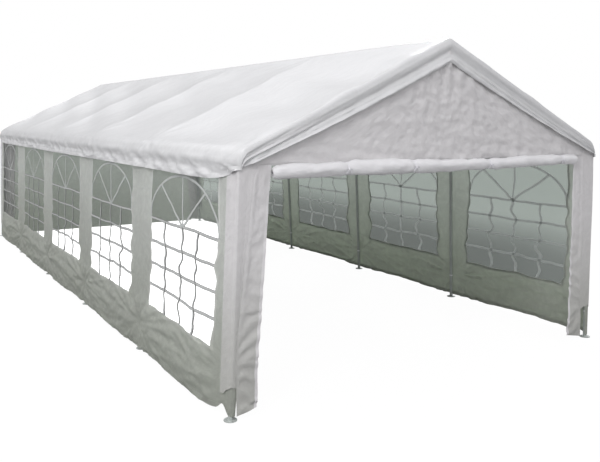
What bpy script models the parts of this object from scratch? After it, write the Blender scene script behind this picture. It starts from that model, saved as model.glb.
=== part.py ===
# Party marquee, 4 m wide and 10 m long: a push-fit steel tube frame under a polyethylene cover.
# X runs across the tent, Y runs along it with the open front at -Y, and Z is up from the ground.
# The origin is on the ground, at the middle of the plan.

import math

import bmesh
import bpy
from mathutils import Matrix, Vector

# Driving dimensions, in metres and radians
BAY_COUNT = 5
BAY_LENGTH = 2.0
FOOT_HALF_WIDTH = 2.05  # leg axis on the ground, from the centre line
LEG_LEAN = 0.0507  # the legs spread towards the ground by this much for each metre
KNEE_HEIGHT = 1.99  # where a leg's axis meets its rafter's axis
RIDGE_HEIGHT = 2.89  # where the two rafter axes meet
TUBE_RADIUS = 0.019
SLEEVE_RADIUS = 0.0225
CROSS_SLEEVE_RADIUS = 0.0215
SLEEVE_REACH = 0.14  # a connector's arm, from the corner of the axes to its mouth
SOCKET_BOTTOM = 0.085  # where the socket in that arm ends, from the same corner
LINE_SLEEVE_LENGTH = 0.24  # the connector's sleeve on the purlin, over both bays
END_OVERRUN = 0.0055  # how far a purlin line's last sleeve runs past its connector's axis
KNEE_BEND = 0.12
RIDGE_BEND = 0.05
CLEARANCE = 0.0004  # between a tube and its socket's wall
SEAT_GAP = 0.0003  # between pieces that rest on each other
SHEET_THICKNESS = 0.003
FILM_THICKNESS = 0.0015
VALANCE_BOTTOM = 1.785
RAKE_FLAP_FOOT = 1.885  # the height at which the flap along the rake ends
RAKE_FLAP_APEX = 2.71  # the flap's lower edge at the middle of the gable
WALL_BOTTOM = 0.03
WALL_TOP = 1.845
WINDOW_WIDTH = 1.43
WINDOW_SILL = 0.5
WINDOW_HEAD = 1.815
DOOR_HEAD = 1.91
DOOR_HALF_WIDTH = 1.83  # on the ground
DOOR_LEAN = 0.072  # the doorway narrows on each side by this much for each metre up
ROLL_RADIUS = 0.058
FOOT_PLATE_RADIUS = 0.052
FOOT_PLATE_THICKNESS = 0.006
PEG_HOLE_RADIUS = 0.006
PEG_HOLE_OFFSET = 0.037
TUBE_SIDES = 16
ARC_STEPS = 6

# Sizes that follow from them
HALF_LENGTH = BAY_COUNT * BAY_LENGTH / 2
FRAME_POSITIONS = [-HALF_LENGTH + i * BAY_LENGTH for i in range(BAY_COUNT + 1)]
KNEE_X = FOOT_HALF_WIDTH - LEG_LEAN * KNEE_HEIGHT
KNEE = Vector((KNEE_X, 0, KNEE_HEIGHT))
RIDGE = Vector((0, 0, RIDGE_HEIGHT))
FOOT = Vector((FOOT_HALF_WIDTH, 0, 0))
UP_THE_LEG = (KNEE - FOOT).normalized()
UP_THE_RAFTER = (RIDGE - KNEE).normalized()
LEG_ANGLE = math.atan(LEG_LEAN)
ROOF_ANGLE = math.atan2(RIDGE_HEIGHT - KNEE_HEIGHT, KNEE_X)
WALL_INNER = TUBE_RADIUS + SEAT_GAP
WALL_OUTER = WALL_INNER + SHEET_THICKNESS
COVER_INNER = SLEEVE_RADIUS + SEAT_GAP
COVER_OUTER = COVER_INNER + SHEET_THICKNESS
GABLE_OUTER = COVER_INNER + SHEET_THICKNESS
FLAP_INNER = GABLE_OUTER + SEAT_GAP
FLAP_OUTER = FLAP_INNER + SHEET_THICKNESS
ROLL_HEIGHT = DOOR_HEAD - SEAT_GAP - ROLL_RADIUS

# Colour as red, green, blue, then roughness and metallic
FINISHES = {
    "frame_steel": ((0.62, 0.65, 0.64), 0.45, 0.6),
    "roof_sheet": ((0.86, 0.86, 0.87), 0.35, 0.0),
    "wall_sheet": ((0.72, 0.73, 0.71), 0.45, 0.0),
    "clear_film": ((0.66, 0.70, 0.69), 0.12, 0.0),
}


def clear_scene():
    for old in list(bpy.data.objects):
        bpy.data.objects.remove(old)


def new_collection(name):
    collection = bpy.data.collections.new(name)
    bpy.context.scene.collection.children.link(collection)
    return collection


def make_materials():
    made = {}
    for name, (colour, roughness, metallic) in FINISHES.items():
        material = bpy.data.materials.new(name)
        material.use_nodes = True
        shader = material.node_tree.nodes["Principled BSDF"]
        shader.inputs["Base Color"].default_value = (*colour, 1.0)
        shader.inputs["Roughness"].default_value = roughness
        shader.inputs["Metallic"].default_value = metallic
        made[name] = material
    return made


def mirrored(point, side):
    """The point on the right side of the tent for side 1, and its mirror image for side -1."""
    return Vector((side * point.x, point.y, point.z))


def at_frame(point, y):
    return Vector((point.x, y, point.z))


def rod(name, start, end, radius):
    """A round bar from start to end."""
    mesh = bpy.data.meshes.new(name)
    shape = bmesh.new()
    bmesh.ops.create_cone(
        shape,
        cap_ends=True,
        segments=TUBE_SIDES,
        radius1=radius,
        radius2=radius,
        depth=(end - start).length,
    )
    shape.to_mesh(mesh)
    shape.free()
    made = bpy.data.objects.new(name, mesh)
    PARTS.objects.link(made)
    made.location = (start + end) / 2
    made.rotation_mode = "QUATERNION"
    made.rotation_quaternion = (end - start).to_track_quat("Z", "Y")
    return made


def rounded_corner(start, corner, end, bend):
    """Points from start to end round a corner of the bend's radius, with the arc's middle."""
    back = (start - corner).normalized()
    on = (end - corner).normalized()
    half = back.angle(on) / 2
    tangent = bend / math.tan(half)
    centre = corner + (back + on).normalized() * (bend / math.sin(half))
    first = corner + back * tangent - centre
    last = corner + on * tangent - centre
    turn = first.angle(last)
    arc = []
    for step in range(ARC_STEPS + 1):
        share = step / ARC_STEPS
        near = first * (math.sin((1 - share) * turn) / math.sin(turn))
        far = last * (math.sin(share * turn) / math.sin(turn))
        arc.append(centre + near + far)
    return [start, *arc, end], centre + (corner - centre).normalized() * bend


def bent_sleeve(name, path):
    """A connector's bent outer tube along the path, as a closed mesh."""
    curve = bpy.data.curves.new(name, "CURVE")
    curve.dimensions = "3D"
    curve.bevel_depth = SLEEVE_RADIUS
    curve.bevel_resolution = 6
    curve.use_fill_caps = True
    spline = curve.splines.new("POLY")
    spline.points.add(len(path) - 1)
    for point, place in zip(spline.points, path):
        point.co = (*place, 1.0)
    return curve_to_mesh(name, curve, Matrix.Identity(4))


def flat_sheet(name, outlines, thickness, placement):
    """A sheet cut to the first outline, with a hole for each other outline, centred on its own plane."""
    curve = bpy.data.curves.new(name, "CURVE")
    curve.dimensions = "2D"
    curve.fill_mode = "BOTH"
    curve.extrude = thickness / 2
    for outline in outlines:
        spline = curve.splines.new("POLY")
        spline.points.add(len(outline) - 1)
        for point, place in zip(spline.points, outline):
            point.co = (place[0], place[1], 0.0, 1.0)
        spline.use_cyclic_u = True
    return curve_to_mesh(name, curve, placement)


def curve_to_mesh(name, curve, placement):
    source = bpy.data.objects.new(name + "_curve", curve)
    PARTS.objects.link(source)
    source.matrix_world = placement
    bpy.context.view_layer.update()
    evaluated = source.evaluated_get(bpy.context.evaluated_depsgraph_get())
    mesh = bpy.data.meshes.new_from_object(evaluated)
    shape = bmesh.new()
    shape.from_mesh(mesh)
    bmesh.ops.remove_doubles(shape, verts=shape.verts, dist=0.00001)
    shape.to_mesh(mesh)
    shape.free()
    made = bpy.data.objects.new(name, mesh)
    made.matrix_world = placement
    bpy.data.objects.remove(source)
    PARTS.objects.link(made)
    return made


def combine(body, tools, operation):
    """Joins the tools to the body, or cuts them out of it, and removes them."""
    for tool in tools:
        modifier = body.modifiers.new(tool.name, "BOOLEAN")
        modifier.operation = operation
        modifier.solver = "EXACT"
        modifier.object = tool
    bpy.context.view_layer.update()
    evaluated = body.evaluated_get(bpy.context.evaluated_depsgraph_get())
    mesh = bpy.data.meshes.new_from_object(evaluated)
    body.modifiers.clear()
    body.data = mesh
    for tool in tools:
        bpy.data.objects.remove(tool)


def finish(made, name, material):
    made.name = name
    made.data.name = name
    made.data.materials.clear()
    made.data.materials.append(MATERIALS[material])
    made.data.set_sharp_from_angle(angle=math.radians(35))
    return made


def socket_bore(corner, direction):
    """The hole in a connector's arm that a tube is pushed into."""
    overshoot = 0.02
    return rod(
        "socket",
        corner + direction * SOCKET_BOTTOM,
        corner + direction * (SLEEVE_REACH + overshoot),
        TUBE_RADIUS + CLEARANCE,
    )


def purlin_line(name, axis_point, connectors, bores):
    """The five purlin tubes of one line with the six connectors that carry them."""
    ends = LINE_SLEEVE_LENGTH / 2
    line = rod(
        "line",
        at_frame(axis_point, -HALF_LENGTH),
        at_frame(axis_point, HALF_LENGTH),
        TUBE_RADIUS,
    )
    sleeves = []
    for y in FRAME_POSITIONS:
        low = max(y - ends, -HALF_LENGTH - END_OVERRUN)
        high = min(y + ends, HALF_LENGTH + END_OVERRUN)
        sleeves.append(
            rod("sleeve", at_frame(axis_point, low), at_frame(axis_point, high), CROSS_SLEEVE_RADIUS)
        )
    combine(line, sleeves + connectors, "UNION")
    combine(line, bores, "DIFFERENCE")
    return finish(line, name, "frame_steel")


def ridge_purlin():
    left_knee = mirrored(KNEE, -1)
    down_right = (KNEE - RIDGE).normalized()
    down_left = (left_knee - RIDGE).normalized()
    connectors = []
    bores = []
    for y in FRAME_POSITIONS:
        corner = at_frame(RIDGE, y)
        path, middle = rounded_corner(
            corner + down_right * SLEEVE_REACH,
            corner,
            corner + down_left * SLEEVE_REACH,
            RIDGE_BEND,
        )
        connectors.append(bent_sleeve("connector", path))
        bores.append(socket_bore(corner, down_right))
        bores.append(socket_bore(corner, down_left))
    return purlin_line("ridge_purlin", middle, connectors, bores)


def eave_purlin(side):
    up_leg = mirrored(UP_THE_LEG, side)
    up_rafter = mirrored(UP_THE_RAFTER, side)
    connectors = []
    bores = []
    for y in FRAME_POSITIONS:
        corner = at_frame(mirrored(KNEE, side), y)
        path, middle = rounded_corner(
            corner - up_leg * SLEEVE_REACH,
            corner,
            corner + up_rafter * SLEEVE_REACH,
            KNEE_BEND,
        )
        connectors.append(bent_sleeve("connector", path))
        bores.append(socket_bore(corner, -up_leg))
        bores.append(socket_bore(corner, up_rafter))
    return purlin_line(f"eave_purlin_{SIDE_NAMES[side]}", middle, connectors, bores)


def leg(side, number, y):
    """A leg tube welded to its round foot plate, which has two peg holes."""
    end_gap = 0.001
    foot = at_frame(mirrored(FOOT, side), y)
    knee = at_frame(mirrored(KNEE, side), y)
    up = mirrored(UP_THE_LEG, side)
    plate = rod("plate", foot, foot + Vector((0, 0, FOOT_PLATE_THICKNESS)), FOOT_PLATE_RADIUS)
    tube = rod(
        "tube",
        foot + up * (FOOT_PLATE_THICKNESS / 2),
        knee - up * (SOCKET_BOTTOM + end_gap),
        TUBE_RADIUS,
    )
    holes = []
    for offset in (-PEG_HOLE_OFFSET, PEG_HOLE_OFFSET):
        middle = foot + Vector((0, offset, 0))
        below = middle - Vector((0, 0, FOOT_PLATE_THICKNESS))
        above = middle + Vector((0, 0, 2 * FOOT_PLATE_THICKNESS))
        holes.append(rod("hole", below, above, PEG_HOLE_RADIUS))
    combine(plate, [tube], "UNION")
    combine(plate, holes, "DIFFERENCE")
    return finish(plate, f"leg_{SIDE_NAMES[side]}_{number}", "frame_steel")


def rafter(side, number, y):
    end_gap = 0.001
    knee = at_frame(mirrored(KNEE, side), y)
    ridge = at_frame(RIDGE, y)
    up = mirrored(UP_THE_RAFTER, side)
    reach = SOCKET_BOTTOM + end_gap
    made = rod("rafter", knee + up * reach, ridge - up * reach, TUBE_RADIUS)
    return finish(made, f"rafter_{SIDE_NAMES[side]}_{number}", "frame_steel")


def section(offset, lowest):
    """The frame's outline across the tent, as x and z, at this distance outside the tube axes: up the
    right leg from the lowest height, round the knee, over the ridge and down the left side."""
    outward = Vector((math.cos(LEG_ANGLE), 0, math.sin(LEG_ANGLE)))
    start = FOOT + outward * offset
    start += UP_THE_LEG * ((lowest - start.z) / UP_THE_LEG.z)
    half_turn = (math.pi / 2 - LEG_ANGLE - ROOF_ANGLE) / 2
    corner = KNEE + outward * offset + UP_THE_LEG * (offset * math.tan(half_turn))
    apex = Vector((0, 0, RIDGE_HEIGHT + offset / math.cos(ROOF_ANGLE)))
    right, _ = rounded_corner(start, corner, apex, KNEE_BEND + offset)
    left = [mirrored(point, -1) for point in reversed(right[:-1])]
    return [(point.x, point.z) for point in right + left]


def across(y):
    """Placement of a sheet whose own X and Y run along the tent's X and Z."""
    return Matrix.Translation((0, y, 0)) @ Matrix.Rotation(math.pi / 2, 4, "X")


def along(side, offset):
    """Placement of a sheet in a side wall's leaning plane: its X runs along the tent, its Y up the legs."""
    up = mirrored(UP_THE_LEG, side)
    forward = Vector((0, 1, 0))
    normal = forward.cross(up)
    origin = mirrored(FOOT, side) + normal * (side * offset)
    turn = Matrix((forward, up, normal)).transposed().to_4x4()
    return Matrix.Translation(origin) @ turn


def roof_cover():
    """The one-piece cover: two slopes, a valance down each side, and a flap down each gable."""
    outside = section(COVER_OUTER, VALANCE_BOTTOM)
    inside = section(COVER_INNER, VALANCE_BOTTOM)
    cover = flat_sheet(
        "cover", [outside + inside[::-1]], 2 * (HALF_LENGTH + FLAP_OUTER), across(0)
    )
    flap = section((COVER_OUTER + COVER_INNER) / 2, RAKE_FLAP_FOOT) + [(0, RAKE_FLAP_APEX)]
    reach = HALF_LENGTH + (FLAP_INNER + FLAP_OUTER) / 2
    flaps = [flat_sheet("flap", [flap], SHEET_THICKNESS, across(end * reach)) for end in (-1, 1)]
    combine(cover, flaps, "UNION")
    return finish(cover, "roof_cover", "roof_sheet")


def window_outline(number, margin):
    """A window's edge in its wall's own plane, drawn in by the margin."""
    middle = FRAME_POSITIONS[number - 1] + BAY_LENGTH / 2
    half = WINDOW_WIDTH / 2 - margin
    low = WINDOW_SILL + margin
    high = WINDOW_HEAD - margin
    return [(middle - half, low), (middle + half, low), (middle + half, high), (middle - half, high)]


def side_wall(side):
    """The long side sheet in one piece, with five window openings."""
    half = HALF_LENGTH + COVER_INNER - SEAT_GAP
    edge = [(-half, WALL_BOTTOM), (half, WALL_BOTTOM), (half, WALL_TOP), (-half, WALL_TOP)]
    holes = [window_outline(number, 0) for number in range(1, BAY_COUNT + 1)]
    offset = (WALL_INNER + WALL_OUTER) / 2
    made = flat_sheet("wall", [edge, *holes], SHEET_THICKNESS, along(side, offset))
    return finish(made, f"side_wall_{SIDE_NAMES[side]}", "wall_sheet")


def window(side, number):
    offset = (WALL_INNER + WALL_OUTER) / 2
    outline = window_outline(number, SEAT_GAP)
    made = flat_sheet("film", [outline], FILM_THICKNESS, along(side, offset))
    return finish(made, f"window_{SIDE_NAMES[side]}_{number}", "clear_film")


def door_edge(height, margin):
    """Half the doorway's width at this height, less the margin."""
    return DOOR_HALF_WIDTH - DOOR_LEAN * height - margin


def gable_wall(name, end):
    """The gable triangle and the two corner strips, cut from one sheet round the doorway."""
    outer = section(WALL_OUTER - SEAT_GAP, WALL_BOTTOM)
    doorway = [
        (-door_edge(WALL_BOTTOM, 0), WALL_BOTTOM),
        (-door_edge(DOOR_HEAD, 0), DOOR_HEAD),
        (door_edge(DOOR_HEAD, 0), DOOR_HEAD),
        (door_edge(WALL_BOTTOM, 0), WALL_BOTTOM),
    ]
    reach = HALF_LENGTH + (COVER_INNER + GABLE_OUTER) / 2
    made = flat_sheet("gable", [outer + doorway], SHEET_THICKNESS, across(end * reach))
    return finish(made, name, "wall_sheet")


def front_door_roll():
    """The front door sheet, rolled up and tied under the gable."""
    half = door_edge(DOOR_HEAD, SEAT_GAP) - 0.004
    y = -HALF_LENGTH - (COVER_INNER + GABLE_OUTER) / 2
    made = rod("roll", Vector((-half, y, ROLL_HEIGHT)), Vector((half, y, ROLL_HEIGHT)), ROLL_RADIUS)
    return finish(made, "front_door_roll", "wall_sheet")


def back_door_panel():
    """The back door sheet, let down and zipped between the corner strips."""
    top = DOOR_HEAD - SEAT_GAP
    outline = [
        (-door_edge(WALL_BOTTOM, SEAT_GAP), WALL_BOTTOM),
        (door_edge(WALL_BOTTOM, SEAT_GAP), WALL_BOTTOM),
        (door_edge(top, SEAT_GAP), top),
        (-door_edge(top, SEAT_GAP), top),
    ]
    reach = HALF_LENGTH + (COVER_INNER + GABLE_OUTER) / 2
    made = flat_sheet("door", [outline], SHEET_THICKNESS, across(reach))
    return finish(made, "back_door_panel", "wall_sheet")


clear_scene()
PARTS = new_collection("party_marquee")
MATERIALS = make_materials()
SIDE_NAMES = {-1: "left", 1: "right"}

ridge_purlin()
for tent_side in (-1, 1):
    eave_purlin(tent_side)
    for frame_number, frame_y in enumerate(FRAME_POSITIONS, start=1):
        leg(tent_side, frame_number, frame_y)
        rafter(tent_side, frame_number, frame_y)
    side_wall(tent_side)
    for window_number in range(1, BAY_COUNT + 1):
        window(tent_side, window_number)
roof_cover()
gable_wall("front_gable_wall", -1)
gable_wall("back_gable_wall", 1)
front_door_roll()
back_door_panel()
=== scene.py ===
"""Party marquee: dresses the steel frame with its cover, walls, windows, rolled door and ties.

Sizes are in metres. X runs across the tent, Y along it with the open front at -Y, and Z is up.
"""

import math

import bmesh
import bpy
from bpy.props import FloatProperty, FloatVectorProperty, PointerProperty
from bpy.types import Operator, Panel, PropertyGroup
from mathutils import Matrix, Vector, noise


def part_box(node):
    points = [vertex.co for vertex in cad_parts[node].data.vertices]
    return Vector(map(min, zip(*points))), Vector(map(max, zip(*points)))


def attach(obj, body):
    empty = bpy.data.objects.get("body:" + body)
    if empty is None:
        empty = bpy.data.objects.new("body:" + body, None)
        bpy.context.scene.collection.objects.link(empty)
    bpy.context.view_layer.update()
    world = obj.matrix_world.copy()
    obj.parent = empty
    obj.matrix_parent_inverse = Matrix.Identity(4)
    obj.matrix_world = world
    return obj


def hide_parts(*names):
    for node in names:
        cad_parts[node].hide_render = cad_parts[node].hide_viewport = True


bl_info = {
    "name": "Party Marquee",
    "version": (1, 0, 0),
    "blender": (4, 5, 0),
    "location": "View3D > Sidebar > Marquee",
    "description": "Dresses the marquee's steel frame with its cover, walls, windows and ties",
    "category": "Add Mesh",
}

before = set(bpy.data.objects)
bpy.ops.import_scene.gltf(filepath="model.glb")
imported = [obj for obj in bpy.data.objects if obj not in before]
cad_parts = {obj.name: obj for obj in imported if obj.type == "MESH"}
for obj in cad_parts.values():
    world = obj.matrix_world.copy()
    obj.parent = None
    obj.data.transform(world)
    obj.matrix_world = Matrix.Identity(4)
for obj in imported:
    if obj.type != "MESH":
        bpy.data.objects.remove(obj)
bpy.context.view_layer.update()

# The frame's driving sizes
BAY_COUNT = 5
FOOT_HALF_WIDTH = 2.05  # leg axis on the ground, from the centre line
LEG_LEAN = 0.0507  # the legs spread towards the ground by this much for each metre
KNEE_HEIGHT = 1.99
RIDGE_HEIGHT = 2.89
TUBE_RADIUS = 0.019
SLEEVE_RADIUS = 0.0225
KNEE_BEND = 0.12
RIDGE_BEND = 0.05
WALL_BOTTOM = 0.03
WALL_TOP = 1.845
WINDOW_WIDTH = 1.43
WINDOW_SILL = 0.5
WINDOW_HEAD = 1.815
VALANCE_BOTTOM = 1.785
DOOR_HEAD = 1.91

# The frame's places, read from its nodes
SIDES = {"left": -1, "right": 1}
ENDS = {"front": -1, "back": 1}


def middle_of(node):
    low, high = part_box(node)
    return (low + high) / 2


FRAME_Y = [middle_of(f"leg_left_{number}").y for number in range(1, BAY_COUNT + 2)]
BAY_LENGTH = FRAME_Y[1] - FRAME_Y[0]
HALF_LENGTH = FRAME_Y[-1]
WINDOW_Y = [y + BAY_LENGTH / 2 for y in FRAME_Y[:-1]]

# Where the cover runs: over the ridge in a small arc, straight down the rafters, round the knees
COVER_OFFSET = 0.0245  # from the tubes' axes to the middle of the sheet
LEG_ANGLE = math.atan(LEG_LEAN)
KNEE_X = FOOT_HALF_WIDTH - LEG_LEAN * KNEE_HEIGHT
ROOF_ANGLE = math.atan2(RIDGE_HEIGHT - KNEE_HEIGHT, KNEE_X)
KNEE_TURN = math.pi / 2 - LEG_ANGLE - ROOF_ANGLE
RIDGE_RADIUS = RIDGE_BEND + COVER_OFFSET
KNEE_RADIUS = KNEE_BEND + COVER_OFFSET
APEX_Z = RIDGE_HEIGHT + COVER_OFFSET / math.cos(ROOF_ANGLE)
CORNER_SHIFT = COVER_OFFSET * math.tan(KNEE_TURN / 2)
CORNER_X = KNEE_X + COVER_OFFSET * math.cos(LEG_ANGLE) - CORNER_SHIFT * math.sin(LEG_ANGLE)
CORNER_Z = KNEE_HEIGHT + COVER_OFFSET * math.sin(LEG_ANGLE) + CORNER_SHIFT * math.cos(LEG_ANGLE)
RIDGE_ARC = RIDGE_RADIUS * ROOF_ANGLE
SLOPE_START = RIDGE_RADIUS * math.tan(ROOF_ANGLE)
SLOPE_END = math.hypot(CORNER_X, APEX_Z - CORNER_Z) - KNEE_RADIUS * math.tan(KNEE_TURN / 2)
KNEE_START = RIDGE_ARC + SLOPE_END - SLOPE_START
KNEE_END = KNEE_START + KNEE_RADIUS * KNEE_TURN
KNEE_CENTRE_X = SLOPE_END * math.cos(ROOF_ANGLE) - KNEE_RADIUS * math.sin(ROOF_ANGLE)
KNEE_CENTRE_Z = APEX_Z - SLOPE_END * math.sin(ROOF_ANGLE) - KNEE_RADIUS * math.cos(ROOF_ANGLE)
EAVE_X = KNEE_CENTRE_X + KNEE_RADIUS * math.cos(LEG_ANGLE)
EAVE_Z = KNEE_CENTRE_Z + KNEE_RADIUS * math.sin(LEG_ANGLE)
VALANCE_DROP = (EAVE_Z - VALANCE_BOTTOM) / math.cos(LEG_ANGLE)

# How the sheets hang
WRAP = 0.042  # of the cover, round an end rafter
FLAP_DEPTH = 0.2  # of the cover's end, below the rafter at the ridge
FLAP_CLEARANCE = 0.031  # of the flap's sheet from the rafter's axis
FLAP_STAND = 0.014  # how far the cover's end bulges past the rafter
HEM_WIDTH = 0.038
WALL_OFFSET = 0.0212  # from the legs' axes to the middle of the side sheets
TIE_HEIGHT = 0.28  # where the side sheets are tied to the legs
CORNER_ARC = 0.036  # of a side sheet, round a corner leg
CORNER_RUN = 0.045  # of a side sheet past that, across the tent's end
SLEEVE_SIDE = 0.15  # of a corner sleeve, along the tent's side
SLEEVE_ARC = 0.05  # round the leg
SLEEVE_RUN = 0.16  # and across the tent's end
SLEEVE_TOP = 1.958
GABLE_OFFSET = 0.0236
STRIP_OFFSET = 0.0252
FILM_SHIFT = -0.0012
LAP = 0.012  # of the film behind the wall sheet
SPRING_LINE = 1.335
BAR_ROWS = (0.71, 0.92, 1.125, SPRING_LINE)
ARCH_RISE = 0.42
# each front edge of a corner strip: its distance from the middle at the ground, and its lean
STRIP_EDGES = {
    "front_left": ((1.857, 0.079), (2.08, 0.127)),
    "front_right": ((1.738, 0.038), (1.941, 0.063)),
    "back_left": ((1.857, 0.079), (2.04, 0.09)),
    "back_right": ((1.857, 0.079), (2.04, 0.09)),
}
ROLL_TURNS = 7.2
ROLL_LEFT, ROLL_RIGHT = (
    side * (STRIP_EDGES[name][0][0] - 1.855 * STRIP_EDGES[name][0][1]) + 0.008
    for name, side in (("front_left", -1), ("front_right", 1))
)
TIE_X = (-1.05, -0.375, 0.487, 1.456)


# Colour, noise and number helpers
def linear(hex_colour):
    """A linear colour from an sRGB hex value."""
    channels = [int(hex_colour[i : i + 2], 16) / 255 for i in (0, 2, 4)]
    return [c / 12.92 if c <= 0.04045 else ((c + 0.055) / 1.055) ** 2.4 for c in channels]


def clamp(value, low, high):
    return max(low, min(high, value))


def ease(low, high, value):
    """0 below low, 1 above high, and a smooth rise between them."""
    share = clamp((value - low) / (high - low), 0.0, 1.0)
    return share * share * (3 - 2 * share)


def waves(x, y, seed):
    """Smooth noise from about -1 to 1."""
    return noise.noise(Vector((x, y, seed)))


def creases(x, y, seed):
    """Sharp crest lines on a soft ground, from 0 to 1."""
    first = 1 - abs(noise.noise(Vector((x, y, seed))))
    second = 1 - abs(noise.noise(Vector((1.9 * y + 0.7 * x, 2.1 * x - 0.6 * y, seed + 7.3))))
    return 0.65 * first**3 + 0.35 * second**3


def nearest_frame(y):
    """The place of the nearest frame along the tent."""
    number = clamp(round((y - FRAME_Y[0]) / BAY_LENGTH), 0, BAY_COUNT)
    return FRAME_Y[number]


def stations(low, high, step):
    """Evenly spaced numbers from low to high, no more than a step apart."""
    count = max(1, math.ceil((high - low) / step))
    return [low + (high - low) * i / count for i in range(count + 1)]


def joined_stations(*runs):
    """Runs of stations that follow on from each other, as one list."""
    joined = list(runs[0])
    for run in runs[1:]:
        joined.extend(run[1:])
    return joined


# Mesh helpers
def add_patch(shape, us, vs, place, keep=None):
    """A grid with a vertex where place(u, v) says for each station, and with u and v as its UV."""
    made = bmesh.ops.create_grid(
        shape, x_segments=len(us) - 1, y_segments=len(vs) - 1, size=1.0
    )
    flat = {}
    for vert in made["verts"]:
        i = round((vert.co.x + 1) / 2 * (len(us) - 1))
        j = round((vert.co.y + 1) / 2 * (len(vs) - 1))
        flat[vert] = (us[i], vs[j])
    layer = shape.loops.layers.uv.verify()
    faces = {face for vert in made["verts"] for face in vert.link_faces}
    left_out = []
    for face in faces:
        for loop in face.loops:
            loop[layer].uv = flat[loop.vert]
        if keep is not None:
            corners = [flat[vert] for vert in face.verts]
            middle_u = sum(corner[0] for corner in corners) / len(corners)
            middle_v = sum(corner[1] for corner in corners) / len(corners)
            if not keep(middle_u, middle_v):
                left_out.append(face)
    for vert, (u, v) in flat.items():
        vert.co = place(u, v)
    if left_out:
        bmesh.ops.delete(shape, geom=left_out, context="FACES")


def new_object(name, mesh, material):
    mesh.materials.clear()
    mesh.materials.append(material)
    piece = bpy.data.objects.new(name, mesh)
    bpy.context.scene.collection.objects.link(piece)
    return piece


def finish_sheet(name, shape, thickness, material):
    """The sheet's object: its own thickness, smooth faces, and sharp cut edges."""
    bmesh.ops.remove_doubles(shape, verts=shape.verts, dist=0.00002)
    mesh = bpy.data.meshes.new(name)
    shape.to_mesh(mesh)
    shape.free()
    piece = new_object(name, mesh, material)
    solidify = piece.modifiers.new("thickness", "SOLIDIFY")
    solidify.thickness = thickness
    solidify.offset = 0.0
    bpy.context.view_layer.update()
    evaluated = piece.evaluated_get(bpy.context.evaluated_depsgraph_get())
    solid = bpy.data.meshes.new_from_object(evaluated)
    piece.modifiers.clear()
    piece.data = solid
    solid.shade_smooth()
    solid.set_sharp_from_angle(angle=math.radians(55))
    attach(piece, "root")
    return piece


def finish_solid(name, shape, material, sharp_angle=40):
    """The object of a closed piece that needs no added thickness."""
    bmesh.ops.recalc_face_normals(shape, faces=shape.faces)
    mesh = bpy.data.meshes.new(name)
    shape.to_mesh(mesh)
    shape.free()
    piece = new_object(name, mesh, material)
    mesh.shade_smooth()
    mesh.set_sharp_from_angle(angle=math.radians(sharp_angle))
    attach(piece, "root")
    return piece


# Materials
def add_node(tree, kind, settings=None, inputs=None):
    """A node with its settings, and with each input given a value or linked from a socket."""
    node = tree.nodes.new(kind)
    for key, value in (settings or {}).items():
        setattr(node, key, value)
    for key, value in (inputs or {}).items():
        if isinstance(value, bpy.types.NodeSocket):
            tree.links.new(value, node.inputs[key])
        else:
            node.inputs[key].default_value = value
    return node


def new_material(name):
    material = bpy.data.materials.new(name)
    material.use_nodes = True
    material.node_tree.nodes.clear()
    return material, material.node_tree


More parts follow.
